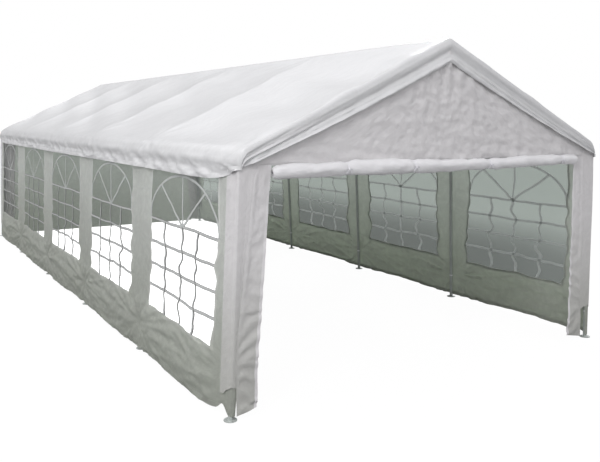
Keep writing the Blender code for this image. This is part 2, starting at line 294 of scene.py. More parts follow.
def woven_sheet(
    name,
    colour,
    glow,
    crease_size,
    crease_depth,
    roughness,
    wrinkle=0.0035,
    mottle=(0.2, 0.2),
    through_tint=(1.0, 1.0, 1.0),
):
    """Woven polyethylene tape, coated on both sides.

    The coating gives a satin sheen with broad highlights, and the thin tapes let some light through.
    It keeps sharp fold lines from its packing, and small soft wrinkles between them. Low down it is
    darker and a little greener. Painted shade and highlight follow the folds and wrinkles.
    """
    material, tree = new_material(name)
    coordinates = add_node(tree, "ShaderNodeTexCoord")
    place = coordinates.outputs["UV"]
    parts = add_node(
        tree, "ShaderNodeSeparateXYZ", inputs={"Vector": coordinates.outputs["Object"]}
    )
    line_wobble = add_node(
        tree,
        "ShaderNodeTexNoise",
        inputs={"Vector": coordinates.outputs["Object"], "Scale": 2.2, "Detail": 4.0},
    )
    line = add_node(
        tree,
        "ShaderNodeMath",
        {"operation": "MULTIPLY_ADD"},
        {0: line_wobble.outputs["Fac"], 1: -0.5, 2: parts.outputs["Z"]},
    )
    height = add_node(
        tree,
        "ShaderNodeMapRange",
        {"interpolation_type": "SMOOTHSTEP"},
        {"Value": line.outputs[0], "From Min": -0.25, "From Max": 1.4},
    )
    # darker and a little greener towards the bottom, along a wobbly line
    low_down_tone = add_node(
        tree,
        "ShaderNodeMix",
        {"data_type": "RGBA"},
        {
            "Factor": height.outputs["Result"],
            "A": (0.72, 0.735, 0.69, 1.0),
            "B": (1.0, 1.0, 1.0, 1.0),
        },
    )
    stain = add_node(
        tree, "ShaderNodeTexNoise", inputs={"Vector": place, "Scale": 1.3, "Detail": 3.0}
    )
    shade = add_node(
        tree,
        "ShaderNodeMix",
        {"data_type": "RGBA"},
        {
            "Factor": stain.outputs["Fac"],
            "A": (*[c * 0.93 for c in colour], 1.0),
            "B": (*[min(1.0, c * 1.05) for c in colour], 1.0),
        },
    )
    shade = add_node(
        tree,
        "ShaderNodeMix",
        {"data_type": "RGBA", "blend_type": "MULTIPLY"},
        {"Factor": 1.0, "A": low_down_tone.outputs["Result"], "B": shade.outputs["Result"]},
    )
    bend = add_node(
        tree, "ShaderNodeTexNoise", inputs={"Vector": place, "Scale": 3.0, "Detail": 2.0}
    )
    bent = add_node(
        tree,
        "ShaderNodeVectorMath",
        {"operation": "MULTIPLY_ADD"},
        {0: bend.outputs["Color"], 1: (0.25, 0.25, 0.0), 2: place},
    )
    cells = add_node(
        tree,
        "ShaderNodeTexNoise",
        {"noise_type": "RIDGED_MULTIFRACTAL"},
        {"Vector": bent.outputs[0], "Scale": 1 / crease_size, "Detail": 3.0},
    )
    fold = add_node(
        tree,
        "ShaderNodeMapRange",
        inputs={"Value": cells.outputs["Fac"], "From Min": 0.3, "From Max": 1.5},
    )
    ruffle = add_node(
        tree,
        "ShaderNodeTexNoise",
        inputs={"Vector": bent.outputs[0], "Scale": 1 / 0.07, "Detail": 4.0, "Roughness": 0.6},
    )
    # painted shade and highlight along the folds and small wrinkles, stronger on the hanging parts than
    # on the slopes of the roof
    rough = add_node(
        tree,
        "ShaderNodeMath",
        {"operation": "MULTIPLY_ADD"},
        {0: fold.outputs["Result"], 1: 0.5, 2: ruffle.outputs["Fac"]},
    )
    painted_crease_shade = add_node(
        tree,
        "ShaderNodeMapRange",
        inputs={
            "Value": rough.outputs[0],
            "From Min": 0.42,
            "From Max": 1.0,
            "To Min": 0.86,
            "To Max": 1.12,
        },
    )
    # mottle sets how strong the painted crease shade is, below and above the eaves
    hanging = add_node(
        tree,
        "ShaderNodeMapRange",
        inputs={
            "Value": parts.outputs["Z"],
            "From Min": 2.03,
            "From Max": 2.12,
            "To Min": mottle[0],
            "To Max": mottle[1],
        },
    )
    shade = add_node(
        tree,
        "ShaderNodeMix",
        {"data_type": "RGBA", "blend_type": "MULTIPLY"},
        {
            "Factor": hanging.outputs["Result"],
            "A": shade.outputs["Result"],
            "B": painted_crease_shade.outputs["Result"],
        },
    )
    # the tapes are 2.5 mm wide: they are drawn at 5 mm, the finest that a close view can show
    tapes = [
        add_node(
            tree,
            "ShaderNodeTexWave",
            {"wave_type": "BANDS", "bands_direction": direction},
            {"Vector": place, "Scale": 0.314 / 0.005},
        )
        for direction in ("X", "Y")
    ]
    weave = add_node(
        tree,
        "ShaderNodeMath",
        {"operation": "MULTIPLY"},
        {0: tapes[0].outputs["Fac"], 1: tapes[1].outputs["Fac"]},
    )
    bump = add_node(
        tree,
        "ShaderNodeBump",
        inputs={"Strength": 0.35, "Distance": 0.0002, "Height": weave.outputs[0]},
    )
    bump = add_node(
        tree,
        "ShaderNodeBump",
        inputs={
            "Strength": 0.9,
            "Distance": wrinkle,
            "Height": ruffle.outputs["Fac"],
            "Normal": bump.outputs[0],
        },
    )
    bump = add_node(
        tree,
        "ShaderNodeBump",
        inputs={
            "Strength": 0.7,
            "Distance": crease_depth,
            "Height": fold.outputs["Result"],
            "Normal": bump.outputs[0],
        },
    )
    sheet = add_node(
        tree,
        "ShaderNodeBsdfPrincipled",
        inputs={
            "Base Color": shade.outputs["Result"],
            "Roughness": roughness,
            "IOR": 1.5,
            "Normal": bump.outputs[0],
        },
    )
    glow_colour = add_node(
        tree,
        "ShaderNodeMix",
        {"data_type": "RGBA", "blend_type": "MULTIPLY"},
        {
            "Factor": 1.0,
            "A": shade.outputs["Result"],
            "B": (*through_tint, 1.0),
        },
    )
    through = add_node(
        tree,
        "ShaderNodeBsdfTranslucent",
        inputs={"Color": glow_colour.outputs["Result"], "Normal": bump.outputs[0]},
    )
    both = add_node(
        tree,
        "ShaderNodeMixShader",
        inputs={"Fac": glow, 1: sheet.outputs[0], 2: through.outputs[0]},
    )
    add_node(tree, "ShaderNodeOutputMaterial", inputs={"Surface": both.outputs[0]})
    return material


def clear_film(colour, opacity):
    """Soft clear polyvinyl chloride film: glossy, hazy where it was creased, with slow swells."""
    material, tree = new_material("clear_pvc_film")
    coordinates = add_node(tree, "ShaderNodeTexCoord")
    place = coordinates.outputs["UV"]
    swell = add_node(
        tree, "ShaderNodeTexNoise", inputs={"Vector": place, "Scale": 1 / 0.12, "Detail": 2.0}
    )
    bend = add_node(
        tree, "ShaderNodeTexNoise", inputs={"Vector": place, "Scale": 1 / 0.5, "Detail": 2.0}
    )
    bent = add_node(
        tree,
        "ShaderNodeVectorMath",
        {"operation": "MULTIPLY_ADD"},
        {0: bend.outputs["Color"], 1: (0.5, 0.5, 0.0), 2: place},
    )
    streaks = add_node(
        tree,
        "ShaderNodeTexNoise",
        {"noise_type": "RIDGED_MULTIFRACTAL"},
        {"Vector": bent.outputs[0], "Scale": 1 / 0.3, "Detail": 3.0},
    )
    # the film is hazier towards the open front
    parts = add_node(
        tree, "ShaderNodeSeparateXYZ", inputs={"Vector": coordinates.outputs["Object"]}
    )
    hazier_to_front = add_node(
        tree,
        "ShaderNodeMapRange",
        inputs={
            "Value": parts.outputs["Y"],
            "From Min": -4.0,
            "From Max": 2.0,
            "To Min": 0.9,
            "To Max": 0.45,
        },
    )
    haze = add_node(
        tree,
        "ShaderNodeMapRange",
        inputs={
            "Value": streaks.outputs["Fac"],
            "From Min": 0.55,
            "From Max": 1.25,
            "To Min": opacity,
            "To Max": opacity + 0.27,
        },
    )
    bump = add_node(
        tree,
        "ShaderNodeBump",
        inputs={"Strength": 0.6, "Distance": 0.006, "Height": swell.outputs["Fac"]},
    )
    bump = add_node(
        tree,
        "ShaderNodeBump",
        inputs={
            "Strength": 0.5,
            "Distance": 0.004,
            "Height": streaks.outputs["Fac"],
            "Normal": bump.outputs[0],
        },
    )
    opaque = add_node(
        tree,
        "ShaderNodeMath",
        {"operation": "MULTIPLY"},
        {0: haze.outputs["Result"], 1: hazier_to_front.outputs["Result"]},
    )
    film = add_node(
        tree,
        "ShaderNodeBsdfPrincipled",
        inputs={
            "Base Color": (*colour, 1.0),
            "Roughness": 0.14,
            "IOR": 1.53,
            "Alpha": opaque.outputs[0],
            "Normal": bump.outputs[0],
        },
    )
    add_node(tree, "ShaderNodeOutputMaterial", inputs={"Surface": film.outputs[0]})
    return material


def ribbed_tape(name, colour, rib, roughness, glow=0.0, edge=None):
    """Narrow woven or welded tape with fine ribs across it.

    With an edge, the half width where its painted shadow line starts, its sides are painted darker.
    """
    material, tree = new_material(name)
    coordinates = add_node(tree, "ShaderNodeTexCoord")
    ribs = add_node(
        tree,
        "ShaderNodeTexWave",
        {"wave_type": "BANDS", "bands_direction": "X"},
        {"Vector": coordinates.outputs["UV"], "Scale": 0.314 / rib},
    )
    soft = add_node(
        tree,
        "ShaderNodeTexNoise",
        inputs={"Vector": coordinates.outputs["UV"], "Scale": 1 / 0.04, "Detail": 3.0},
    )
    shade = add_node(
        tree,
        "ShaderNodeMix",
        {"data_type": "RGBA"},
        {
            "Factor": soft.outputs["Fac"],
            "A": (*[c * 0.9 for c in colour], 1.0),
            "B": (*[min(1.0, c * 1.06) for c in colour], 1.0),
        },
    )
    # the sides are painted darker, a painted shadow line
    if edge:
        parts = add_node(
            tree, "ShaderNodeSeparateXYZ", inputs={"Vector": coordinates.outputs["UV"]}
        )
        aside = add_node(tree, "ShaderNodeMath", {"operation": "ABSOLUTE"}, {0: parts.outputs["Y"]})
        border = add_node(
            tree,
            "ShaderNodeMapRange",
            inputs={"Value": aside.outputs[0], "From Min": edge, "From Max": edge + 0.0015},
        )
        shade = add_node(
            tree,
            "ShaderNodeMix",
            {"data_type": "RGBA"},
            {
                "Factor": border.outputs["Result"],
                "A": shade.outputs["Result"],
                "B": (*[c * 0.3 for c in colour], 1.0),
            },
        )
    bump = add_node(
        tree,
        "ShaderNodeBump",
        inputs={"Strength": 0.4, "Distance": 0.0004, "Height": ribs.outputs["Fac"]},
    )
    tape = add_node(
        tree,
        "ShaderNodeBsdfPrincipled",
        inputs={
            "Base Color": shade.outputs["Result"],
            "Roughness": roughness,
            "IOR": 1.5,
            "Normal": bump.outputs[0],
        },
    )
    through = add_node(
        tree, "ShaderNodeBsdfTranslucent", inputs={"Color": shade.outputs["Result"]}
    )
    both = add_node(
        tree, "ShaderNodeMixShader", inputs={"Fac": glow, 1: tape.outputs[0], 2: through.outputs[0]}
    )
    add_node(tree, "ShaderNodeOutputMaterial", inputs={"Surface": both.outputs[0]})
    return material


def coated_steel(name, colour, roughness):
    """Galvanised steel tube: a dull grey zinc skin with spangle and soft cloudy patches."""
    material, tree = new_material(name)
    coordinates = add_node(tree, "ShaderNodeTexCoord")
    place = coordinates.outputs["Object"]
    spangle = add_node(
        tree, "ShaderNodeTexVoronoi", inputs={"Vector": place, "Scale": 1 / 0.012}
    )
    cloud = add_node(
        tree, "ShaderNodeTexNoise", inputs={"Vector": place, "Scale": 1 / 0.09, "Detail": 5.0}
    )
    mottle = add_node(
        tree,
        "ShaderNodeMath",
        {"operation": "MULTIPLY_ADD", "use_clamp": True},
        {0: spangle.outputs["Distance"], 1: 0.35, 2: cloud.outputs["Fac"]},
    )
    shade = add_node(
        tree,
        "ShaderNodeMix",
        {"data_type": "RGBA"},
        {
            "Factor": mottle.outputs[0],
            "A": (*[c * 0.78 for c in colour], 1.0),
            "B": (*[min(1.0, c * 1.12) for c in colour], 1.0),
        },
    )
    polish = add_node(
        tree,
        "ShaderNodeMapRange",
        inputs={
            "Value": cloud.outputs["Fac"],
            "To Min": roughness - 0.08,
            "To Max": roughness + 0.12,
        },
    )
    bump = add_node(
        tree,
        "ShaderNodeBump",
        inputs={"Strength": 0.25, "Distance": 0.0003, "Height": cloud.outputs["Fac"]},
    )
    steel = add_node(
        tree,
        "ShaderNodeBsdfPrincipled",
        inputs={
            "Base Color": shade.outputs["Result"],
            "Metallic": 0.25,
            "Roughness": polish.outputs["Result"],
            "Normal": bump.outputs[0],
        },
    )
    add_node(tree, "ShaderNodeOutputMaterial", inputs={"Surface": steel.outputs[0]})
    return material


# The cover
def cover_point(across):
    """The point on the cover at this distance over its surface from the ridge, and its outward normal."""
    side = math.copysign(1.0, across)
    run = abs(across)
    if run < RIDGE_ARC:
        lean = run / RIDGE_RADIUS
        x = RIDGE_RADIUS * math.sin(lean)
        z = APEX_Z - RIDGE_RADIUS / math.cos(ROOF_ANGLE) + RIDGE_RADIUS * math.cos(lean)
    elif run < KNEE_START:
        lean = ROOF_ANGLE
        x = (SLOPE_START + run - RIDGE_ARC) * math.cos(ROOF_ANGLE)
        z = APEX_Z - (SLOPE_START + run - RIDGE_ARC) * math.sin(ROOF_ANGLE)
    elif run < KNEE_END:
        lean = ROOF_ANGLE + (run - KNEE_START) / KNEE_RADIUS
        x = KNEE_CENTRE_X + KNEE_RADIUS * math.sin(lean)
        z = KNEE_CENTRE_Z + KNEE_RADIUS * math.cos(lean)
    else:
        lean = math.pi / 2 - LEG_ANGLE
        x = EAVE_X + (run - KNEE_END) * math.sin(LEG_ANGLE)
        z = EAVE_Z - (run - KNEE_END) * math.cos(LEG_ANGLE)
    point = Vector((side * x, 0.0, z))
    normal = Vector((side * math.sin(lean), 0.0, math.cos(lean)))
    return point, normal


def valance_depth(along):
    """The valance's drop below the knee: its hem rises towards the corners."""
    rise = 0.094 * clamp((abs(along) - 4.2) / 0.82, 0.0, 1.0) ** 3.5
    slack = 0.006 * waves(along * 0.8, 0.0, 3.1)
    return VALANCE_DROP - rise + slack


def flap_line(x):
    """The height of the end flap's lower edge."""
    return 2.715 - 0.4575 * abs(x) + 0.0195 * x * x


def fan(away, off, seed, count):
    """Short folds that spread from a point: 0 at the point and far from it."""
    reach = math.hypot(away, off)
    turn = math.atan2(off, away)
    return math.cos(count * turn + seed + 2.5 * waves(turn, reach * 3, seed)) * (
        reach / 0.16
    ) * math.exp(1 - reach / 0.16)


def cover_lift(across, y):
    """How far the cover stands off its straight line between the tubes."""
    sizes = bpy.context.scene.marquee_sizes
    run = abs(across)
    side = 1 if across > 0 else 2
    slope = clamp((run - RIDGE_ARC) / (KNEE_START - RIDGE_ARC), 0.0, 1.0)
    bay = ((y - FRAME_Y[0]) / BAY_LENGTH) % 1.0
    span = 4 * bay * (1 - bay)
    number = round((y - FRAME_Y[0]) / BAY_LENGTH)
    depth = sizes.roof_sag * (1 + 0.35 * waves(y * 0.45, side * 5.0, 1.7))
    lift = -depth * span * math.sin(math.pi * slope) ** 0.8
    away = y - nearest_frame(y)
    on_slope = ease(0.0, 0.04, slope) * ease(1.0, 0.97, slope) if run < KNEE_START else 0.0
    lift += 0.0035 * span**0.5 * fan(away, run, number * 1.3 + side, 9)
    if run < KNEE_START + 0.2:
        lift += 0.003 * fan(away, KNEE_START - run, number * 2.1 + side * 3, 7)
    # diagonal pulls run down the slope towards the front, one to a bay
    pull = math.cos(math.pi * (y + 2.9 * run - sizes.pull_start) + 0.9 * waves(y * 0.5, run, 13.0))
    patchy = 0.55 + 0.9 * waves(y * 0.55, across * 0.8, 15.0)
    lift += sizes.pull_depth * pull * patchy * math.sin(math.pi * slope) ** 0.5
    loose = 0.35 + 0.65 * span
    lift += 0.006 * loose * on_slope * (creases(y * 0.9, across * 2.6, side * 9.0) - 0.45)
    lift += 0.0026 * loose * (creases(y * 3.1 + across, across * 6.0, 4.0 + side) - 0.4) * on_slope
    lift += 0.004 * on_slope * span * waves(y * 1.6 + 0.8 * across, across * 1.4, side * 11.0)
    if run > KNEE_START:
        lift += valance_lift(side, y, run, away)
    # on a tube the sheet can only rise
    return max(lift, -0.001 - 0.35 * max(abs(away) - 0.008, 0.0))


def valance_lift(side, y, run, away):
    """How far the valance stands off: a round top, a hollow under it, and a hem that flares."""
    drop = (run - KNEE_END) / VALANCE_DROP
    free = ease(0.03, 0.10, abs(away))
    lift = 0.009 * math.exp(-(((drop + 0.1) / 0.22) ** 2)) * (1 + 1.2 * waves(y * 2.1, 0.6, side))
    hem = ease(0.35, 1.0, drop)
    lift += hem * (0.012 + 0.010 * waves(y * 1.9, 0.3, side * 2.0))
    # a deep crease runs from the middle of the valance to its front corner
    middle = 0.42 + 0.45 * ease(4.25, 4.98, abs(y))
    lift -= 0.010 * free * math.exp(-(((drop - middle) / 0.17) ** 2)) * (0.6 + waves(y, 0.0, 9.0))
    rough = ease(-0.4, 0.3, drop)
    lift += rough * 0.028 * (creases(y * 3.3 + run * 4, run * 6.0, side * 4.0) - 0.42)
    lift += rough * 0.016 * (creases(y * 7.0 - run * 5, run * 13.0, side * 5.0) - 0.42)
    corner = ease(4.72, 4.95, abs(y)) * ease(-0.6, 0.2, drop)
    lift += corner * 0.005 * math.sin(abs(y) * 130 + run * 18)
    return max(lift, -0.0012 - 0.006 * free * ease(0.75, 0.5, drop))


def flap_stand(share, x):
    """How far the end flap stands off the gable: a round top, a hollow, and a flared hem."""
    roll = math.sin(math.pi * clamp(share / 0.45, 0.0, 1.0))
    flare = ease(0.45, 1.0, share)
    stand = 0.006 * roll - 0.011 * ease(0.1, 0.5, share) * (1 - flare)
    stand += flare * (0.012 + 0.007 * waves(x * 3.1, 0.0, 8.0))
    away = math.hypot(x * 0.6, 0.12 * (share + 0.2))
    pull = math.exp(-abs(x) / 0.5)
    stand += 0.0045 * pull * math.cos(x * 40 + 5 * share) * share
    stand += 0.005 * math.sin(x * 21 + 5 * waves(x * 2, share, 3.0)) * share * (1 - pull)
    # the slope's long folds run down beside the rafter and gather at the eave
    gather = ease(1.1, 1.8, abs(x))
    stand += 0.010 * math.sin(share * 10 + x * 2.0) * (0.5 + 0.8 * gather) * ease(0.0, 0.25, share)
    stand += 0.005 * math.sin(share * 23 - abs(x) * 2.5) * ease(0.05, 0.4, share)
    stand += 0.006 * (creases(x * 4.0, share * 2.6, 5.0) - 0.4) * ease(0.0, 0.3, share)
    return stand + 0.005 * creases(x * 9.0, share * 3.0 + away, 6.0) * share


def cover_place(across, along, shift=0.0):
    """The point of the cover at these distances over its surface, and shift outside it."""
    run = abs(across)
    if run > KNEE_END:
        share = (run - KNEE_END) / VALANCE_DROP
        point, normal = cover_point(math.copysign(KNEE_END + share * valance_depth(along), across))
    else:
        point, normal = cover_point(across)
    y = clamp(along, -HALF_LENGTH, HALF_LENGTH)
    end = math.copysign(1.0, along)
    over = abs(along) - HALF_LENGTH
    fade = 1 - ease(0.0, WRAP, over)
    lift = cover_lift(across, y) * fade + shift
    axis = point - normal * COVER_OFFSET
    if over <= 0:
        place = axis + normal * (COVER_OFFSET + lift)
        place.y = y
        return place
    turn = min(over / WRAP, 1.0) * math.pi / 2
    bulge = COVER_OFFSET + lift + FLAP_STAND * math.sin(turn) ** 2
    place = axis + normal * (bulge * math.cos(turn))
    place.y = y + end * bulge * math.sin(turn)
    if over > WRAP:
        share = (over - WRAP) / FLAP_DEPTH
        foot = min(flap_line(place.x), place.z)
        place.z += (foot - place.z) * share
        stand = abs(place.y) + flap_stand(share, place.x)
        place.y = end * max(stand, HALF_LENGTH + FLAP_CLEARANCE)
    return place


def flap_depth(across):
    """How far an end flap hangs below the rafter's axis."""
    point, normal = cover_point(across)
    axis = point - normal * COVER_OFFSET
    return axis.z - flap_line(axis.x)


def flap_is_there(across, along):
    """True on the cover, and on its end flaps where they are more than a thread deep."""
    if abs(along) < HALF_LENGTH + WRAP:
        return True
    return abs(across) < KNEE_END + 0.02 and flap_depth(across) > 0.004


def across_stations(step):
    ridge = stations(0.0, RIDGE_ARC, RIDGE_ARC / 3)
    slope = stations(RIDGE_ARC, KNEE_START, step)
    knee = stations(KNEE_START, KNEE_END, KNEE_RADIUS * KNEE_TURN / 8)
    valance = stations(KNEE_END, KNEE_END + VALANCE_DROP, VALANCE_DROP / 10)
    right = joined_stations(ridge, slope, knee, valance)
    return [-run for run in reversed(right[1:])] + right


def along_stations(step):
    flap = stations(HALF_LENGTH + WRAP, HALF_LENGTH + WRAP + FLAP_DEPTH, FLAP_DEPTH / 12)
    wrap = stations(HALF_LENGTH, HALF_LENGTH + WRAP, WRAP / 5)
    length = stations(-HALF_LENGTH, HALF_LENGTH, step)
    back = joined_stations(wrap, flap)
    return [-y for y in reversed(back[1:])] + length + back[1:]


def make_roof_cover(sizes, materials):
    shape = bmesh.new()
    add_patch(
        shape,
        across_stations(sizes.roof_step),
        along_stations(sizes.roof_step),
        cover_place,
        flap_is_there,
    )
    cover = finish_sheet(
        "roof_cover_sheet", shape, sizes.sheet_thickness, materials["roof"]
    )
    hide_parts("roof_cover")
    hem_start = KNEE_END + VALANCE_DROP - HEM_WIDTH
    hem_rows = stations(hem_start, KNEE_END + VALANCE_DROP + 0.002, HEM_WIDTH / 3)
    gap = sizes.sheet_thickness
    for side_name, side in SIDES.items():
        shape = bmesh.new()
        add_patch(
            shape,
            stations(-HALF_LENGTH - WRAP, HALF_LENGTH + WRAP, sizes.roof_step),
            hem_rows,
            lambda along, run: cover_place(side * run, along, gap),
        )
        finish_sheet(f"valance_hem_{side_name}", shape, gap, materials["hem"])
    for end_name, end in ENDS.items():

        def on_flap(across, up, end=end):
            share = 1 - up / max(flap_depth(across), 0.001)
            return cover_place(across, end * (HALF_LENGTH + WRAP + share * FLAP_DEPTH), gap)

        shape = bmesh.new()
        add_patch(
            shape,
            stations(-KNEE_START, KNEE_START, 0.02),
            stations(-0.002, HEM_WIDTH, HEM_WIDTH / 3),
            on_flap,
            lambda across, up: flap_depth(across) > 0.06,
        )
        finish_sheet(f"{end_name}_flap_hem", shape, gap, materials["hem"])


# The side walls
def on_wall(side, y, height, out):
    """The point at this height up a leg's line, and out from it."""
    x = FOOT_HALF_WIDTH - height * math.sin(LEG_ANGLE) + out * math.cos(LEG_ANGLE)
    z = height * math.cos(LEG_ANGLE) + out * math.sin(LEG_ANGLE)
    return Vector((side * x, y, z))


def hem_height(side, y):
    """The height of a side sheet's lower edge: it lifts beside the corner legs."""
    over = abs(y) - HALF_LENGTH
    height = 0.07 if side < 0 and y < 0 else 0.03
    lift = height * math.exp(-(((over + 0.1) / 0.075) ** 2))
    sway = 0.012 * waves(y * 1.3, side * 3.0, 2.2) + 0.008 * waves(y * 4.1, side * 2.0, 5.0)
    clear = 1 - math.exp(-(((y - nearest_frame(y)) / 0.12) ** 2))
    return WALL_BOTTOM + lift + sway * clear


def wall_out(side, y, height):
    """How far a side sheet stands off the legs' axes."""
    seed = side * 17.0
    frame_y = nearest_frame(y)
    away = y - frame_y
    number = round((frame_y - FRAME_Y[0]) / BAY_LENGTH)
    bay = ((y - FRAME_Y[0]) / BAY_LENGTH) % 1.0
    span = 4 * bay * (1 - bay)
    skirt = 1 - ease(0.42, 0.62, height)
    loose = 1.0 if side < 0 else 1.7
    tied = math.exp(-((math.hypot(away, height - TIE_HEIGHT) / 0.11) ** 2))
    hung = 1 - ease(1.62, 1.80, height)
    # the skirt bellies out below the sill, and the ties pull it back to the legs
    belly = math.sin(math.pi * clamp(height / 0.52, 0.0, 1.0)) * 0.55 + 0.45 * (1 - height / 0.55)
    out = skirt * belly * (0.024 + 0.020 * span + 0.022 * waves(y * 0.8, 0.5, seed))
    away_up = height - TIE_HEIGHT
    reach = math.hypot(away, away_up)
    turn = math.atan2(away_up, away)
    star = math.cos(9 * turn + number * 1.7 + 1.5 * waves(turn * 1.5, 0.0, seed + number))
    out += 0.008 * skirt * star * (reach / 0.11) * math.exp(1 - reach / 0.11)
    # long folds spread from the tie on either side, and fade where they meet
    for tie_y in (frame_y, frame_y + math.copysign(BAY_LENGTH, away)):
        tie_reach = math.hypot(y - tie_y, away_up)
        tie_turn = math.atan2(away_up, abs(y - tie_y))
        ray = creases(tie_turn * 4.5 + tie_y, tie_reach * 0.9, seed + tie_y + 4.0)
        near = (tie_reach / 0.5) * math.exp(1 - tie_reach / 0.5)
        out += skirt * 0.024 * loose * (ray - 0.45) * near
    slant = away_up + 0.16 * away * math.copysign(1, math.sin(number * 2.4 + side))
    out += skirt * span**0.4 * 0.015 * loose * (creases(y * 0.75, slant * 5.5, seed + 4.0) - 0.45)
    out += skirt * 0.013 * loose * (creases(y * 2.2 + slant * 2, slant * 9.0, seed + 8.0) - 0.4)
    out += skirt * 0.0075 * loose * (creases(y * 6.0 + slant * 3, slant * 15.0, seed + 9.0) - 0.4)
    # the front left bay's skirt and sill stand out furthest
    if side < 0:
        out += 0.034 * math.exp(-(((y + 4.45) / 0.33) ** 2)) * (1 - ease(0.45, 1.1, height))
    # film and piers swell between the legs
    panel = ease(0.40, 0.62, height) * hung
    out += panel * span**0.7 * 0.014 * waves(y * 1.1, height * 1.3, seed + 1.0)
    out += panel * 0.006 * waves(y * 3.4, height * 2.6, seed + 2.0) * ease(0.0, 0.14, abs(away))
    low_film = ease(0.40, 0.55, height) * (1 - ease(0.75, 1.3, height))
    out += low_film * span * 0.008 * waves(y * 5.0, height * 5.0, seed + 3.0)
    # gathers hang beside the corner legs
    corner = ease(4.70, 4.86, abs(y)) * hung
    pleat = math.sin(2 * math.pi * abs(y) / 0.043 + 1.5 * waves(height * 1.5, y * 4, seed))
    out += corner * 0.0032 * pleat * (0.5 + 0.5 * waves(height * 0.9, y * 7.0, seed + 5.0))
    pier = ease(0.42, 0.28, abs(away)) * ease(0.03, 0.07, abs(away))
    out += pier * hung * 0.008 * (creases(y * 3.0, height * 4.5 - y, seed + 7.0) - 0.4)
    out += 0.0030 * hung * (creases(y * 9.0, height * 9.0, seed + 6.0) - 0.4)
    pinned = ease(0.36, 0.17, HALF_LENGTH - abs(y))
    out = out * (1 - max(0.92 * tied, pinned)) * hung
    leg_near = math.exp(-((away / 0.03) ** 2))
    return WALL_OFFSET + max(out, -0.5 * (1 - leg_near) * 0.05, -0.02 + 0.0195 * leg_near)


def ripple(side, y, height):
    """How far the loose film and the sheet beside it slip along and up, in the wall's own plane."""
    slack = ease(0.05, 0.28, abs(y - nearest_frame(y))) * ease(0.3, 0.5, height)
    slack *= 1.0 - 0.45 * ease(0.8, 1.3, height) - 0.45 * ease(1.3, 1.7, height)
    seed = 60.0 + side * 7.0
    along = 0.060 * waves(y * 2.6, height * 4.0, seed) + 0.062 * waves(y * 4.5, height * 8.5, seed + 2)
    up = 0.018 * waves(y * 2.6, height * 2.0, seed + 4) + 0.008 * waves(y * 5.0, height * 3.0, seed + 6)
    return along * slack, up * slack


def wall_place(side, shift=0.0, use_hem=True):
    """The place of each point of a side sheet, shift outside its middle."""

    def place(along, up):
        y = clamp(along, -HALF_LENGTH, HALF_LENGTH)
        over = abs(along) - HALF_LENGTH
        height = up
        if use_hem and up < WINDOW_SILL:
            hem = hem_height(side, along)
            share = (up - WALL_BOTTOM) / (WINDOW_SILL - WALL_BOTTOM)
            height = hem + (WINDOW_SILL - hem) * share
        slip, rise = ripple(side, y, height)
        y += slip
        height += rise
        out = wall_out(side, y, height) + shift
        if over <= 0:
            return on_wall(side, y, height, out)
        end = math.copysign(1.0, along)
        turn = min(over / CORNER_ARC, 1.0) * math.pi / 2
        place = on_wall(side, y, height, out * math.cos(turn))
        place.y += end * (out + 0.002) * math.sin(turn)
        if over > CORNER_ARC:
            narrowed = 0.6 + 0.4 * ease(0.0, 0.4, height)
            run = (over - CORNER_ARC) * narrowed
            place.x -= side * run
            place.y += end * 0.0025 * math.sin(run * 160 + 3 * waves(height * 2, 0.0, 4.0))
        return place

    return place


def window_gap(along, up):
    """True where a side sheet is whole, and False in a window."""
    if not WINDOW_SILL < up < WINDOW_HEAD:
        return True
    return all(abs(along - middle) > WINDOW_WIDTH / 2 for middle in WINDOW_Y)


def make_side_walls(sizes, materials):
    corner = stations(
        HALF_LENGTH, HALF_LENGTH + CORNER_ARC + CORNER_RUN, (CORNER_ARC + CORNER_RUN) / 10
    )
    runs = [[-y for y in reversed(corner)]]
    half = WINDOW_WIDTH / 2
    edge = -HALF_LENGTH
    for middle in WINDOW_Y:
        runs.append(stations(edge, middle - half, sizes.pier_step))
        runs.append(stations(middle - half, middle + half, sizes.wall_step))
        edge = middle + half
    runs.append(stations(edge, HALF_LENGTH, sizes.pier_step))
    runs.append(corner)
    along = joined_stations(*runs)
    up = joined_stations(
        stations(WALL_BOTTOM, WINDOW_SILL, sizes.pier_step),
        stations(WINDOW_SILL, WINDOW_HEAD, sizes.wall_step),
        stations(WINDOW_HEAD, WALL_TOP, 0.015),
    )
    for side_name, side in SIDES.items():
        shape = bmesh.new()
        add_patch(shape, along, up, wall_place(side), window_gap)
        wall = finish_sheet(
            f"side_sheet_{side_name}", shape, sizes.sheet_thickness, materials["wall"]
        )
        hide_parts(f"side_wall_{side_name}")
        shape = bmesh.new()
        add_patch(
            shape,
            stations(-HALF_LENGTH, HALF_LENGTH, 0.03),
            stations(WALL_BOTTOM - 0.002, WALL_BOTTOM + HEM_WIDTH, HEM_WIDTH / 3),
            wall_place(side, sizes.sheet_thickness),
        )
        hem = finish_sheet(
            f"skirt_hem_{side_name}", shape, sizes.sheet_thickness, materials["wall"]
        )


# The windows
def film_place(side, shift):
    return wall_place(side, FILM_SHIFT + shift, use_hem=False)


def add_bar(shape, side, middle, route, width, steps, wobble, bulge=0.0024):
    """A glazing bar along the route, a function from 0 to 1 to a point in the window's plane."""
    surface = film_place(side, 0.0014)
    length = sum(
        (Vector(route((i + 1) / 20)) - Vector(route(i / 20))).length for i in range(20)
    )

    def place(share_along, offset):
        share = share_along / length
        here = Vector(route(share))
        ahead = Vector(route(min(share + 0.01, 1.0))) - Vector(route(max(share - 0.01, 0.0)))
        across = Vector((-ahead.y, ahead.x)).normalized()
        sway = wobble * math.sin(math.pi * share) * waves(here.y * 6 + here.x * 6, middle, side * 5.0)
        here = here + across * (offset + sway)
        point = surface(middle + here.x, here.y)
        cup = bulge * (1 - (2 * offset / width) ** 2)
        return point + Vector((side * cup, 0.0, 0.0))

    add_patch(
        shape,
        stations(0.0, length, length / steps),
        stations(-width / 2, width / 2, width / 4),
        place,
    )


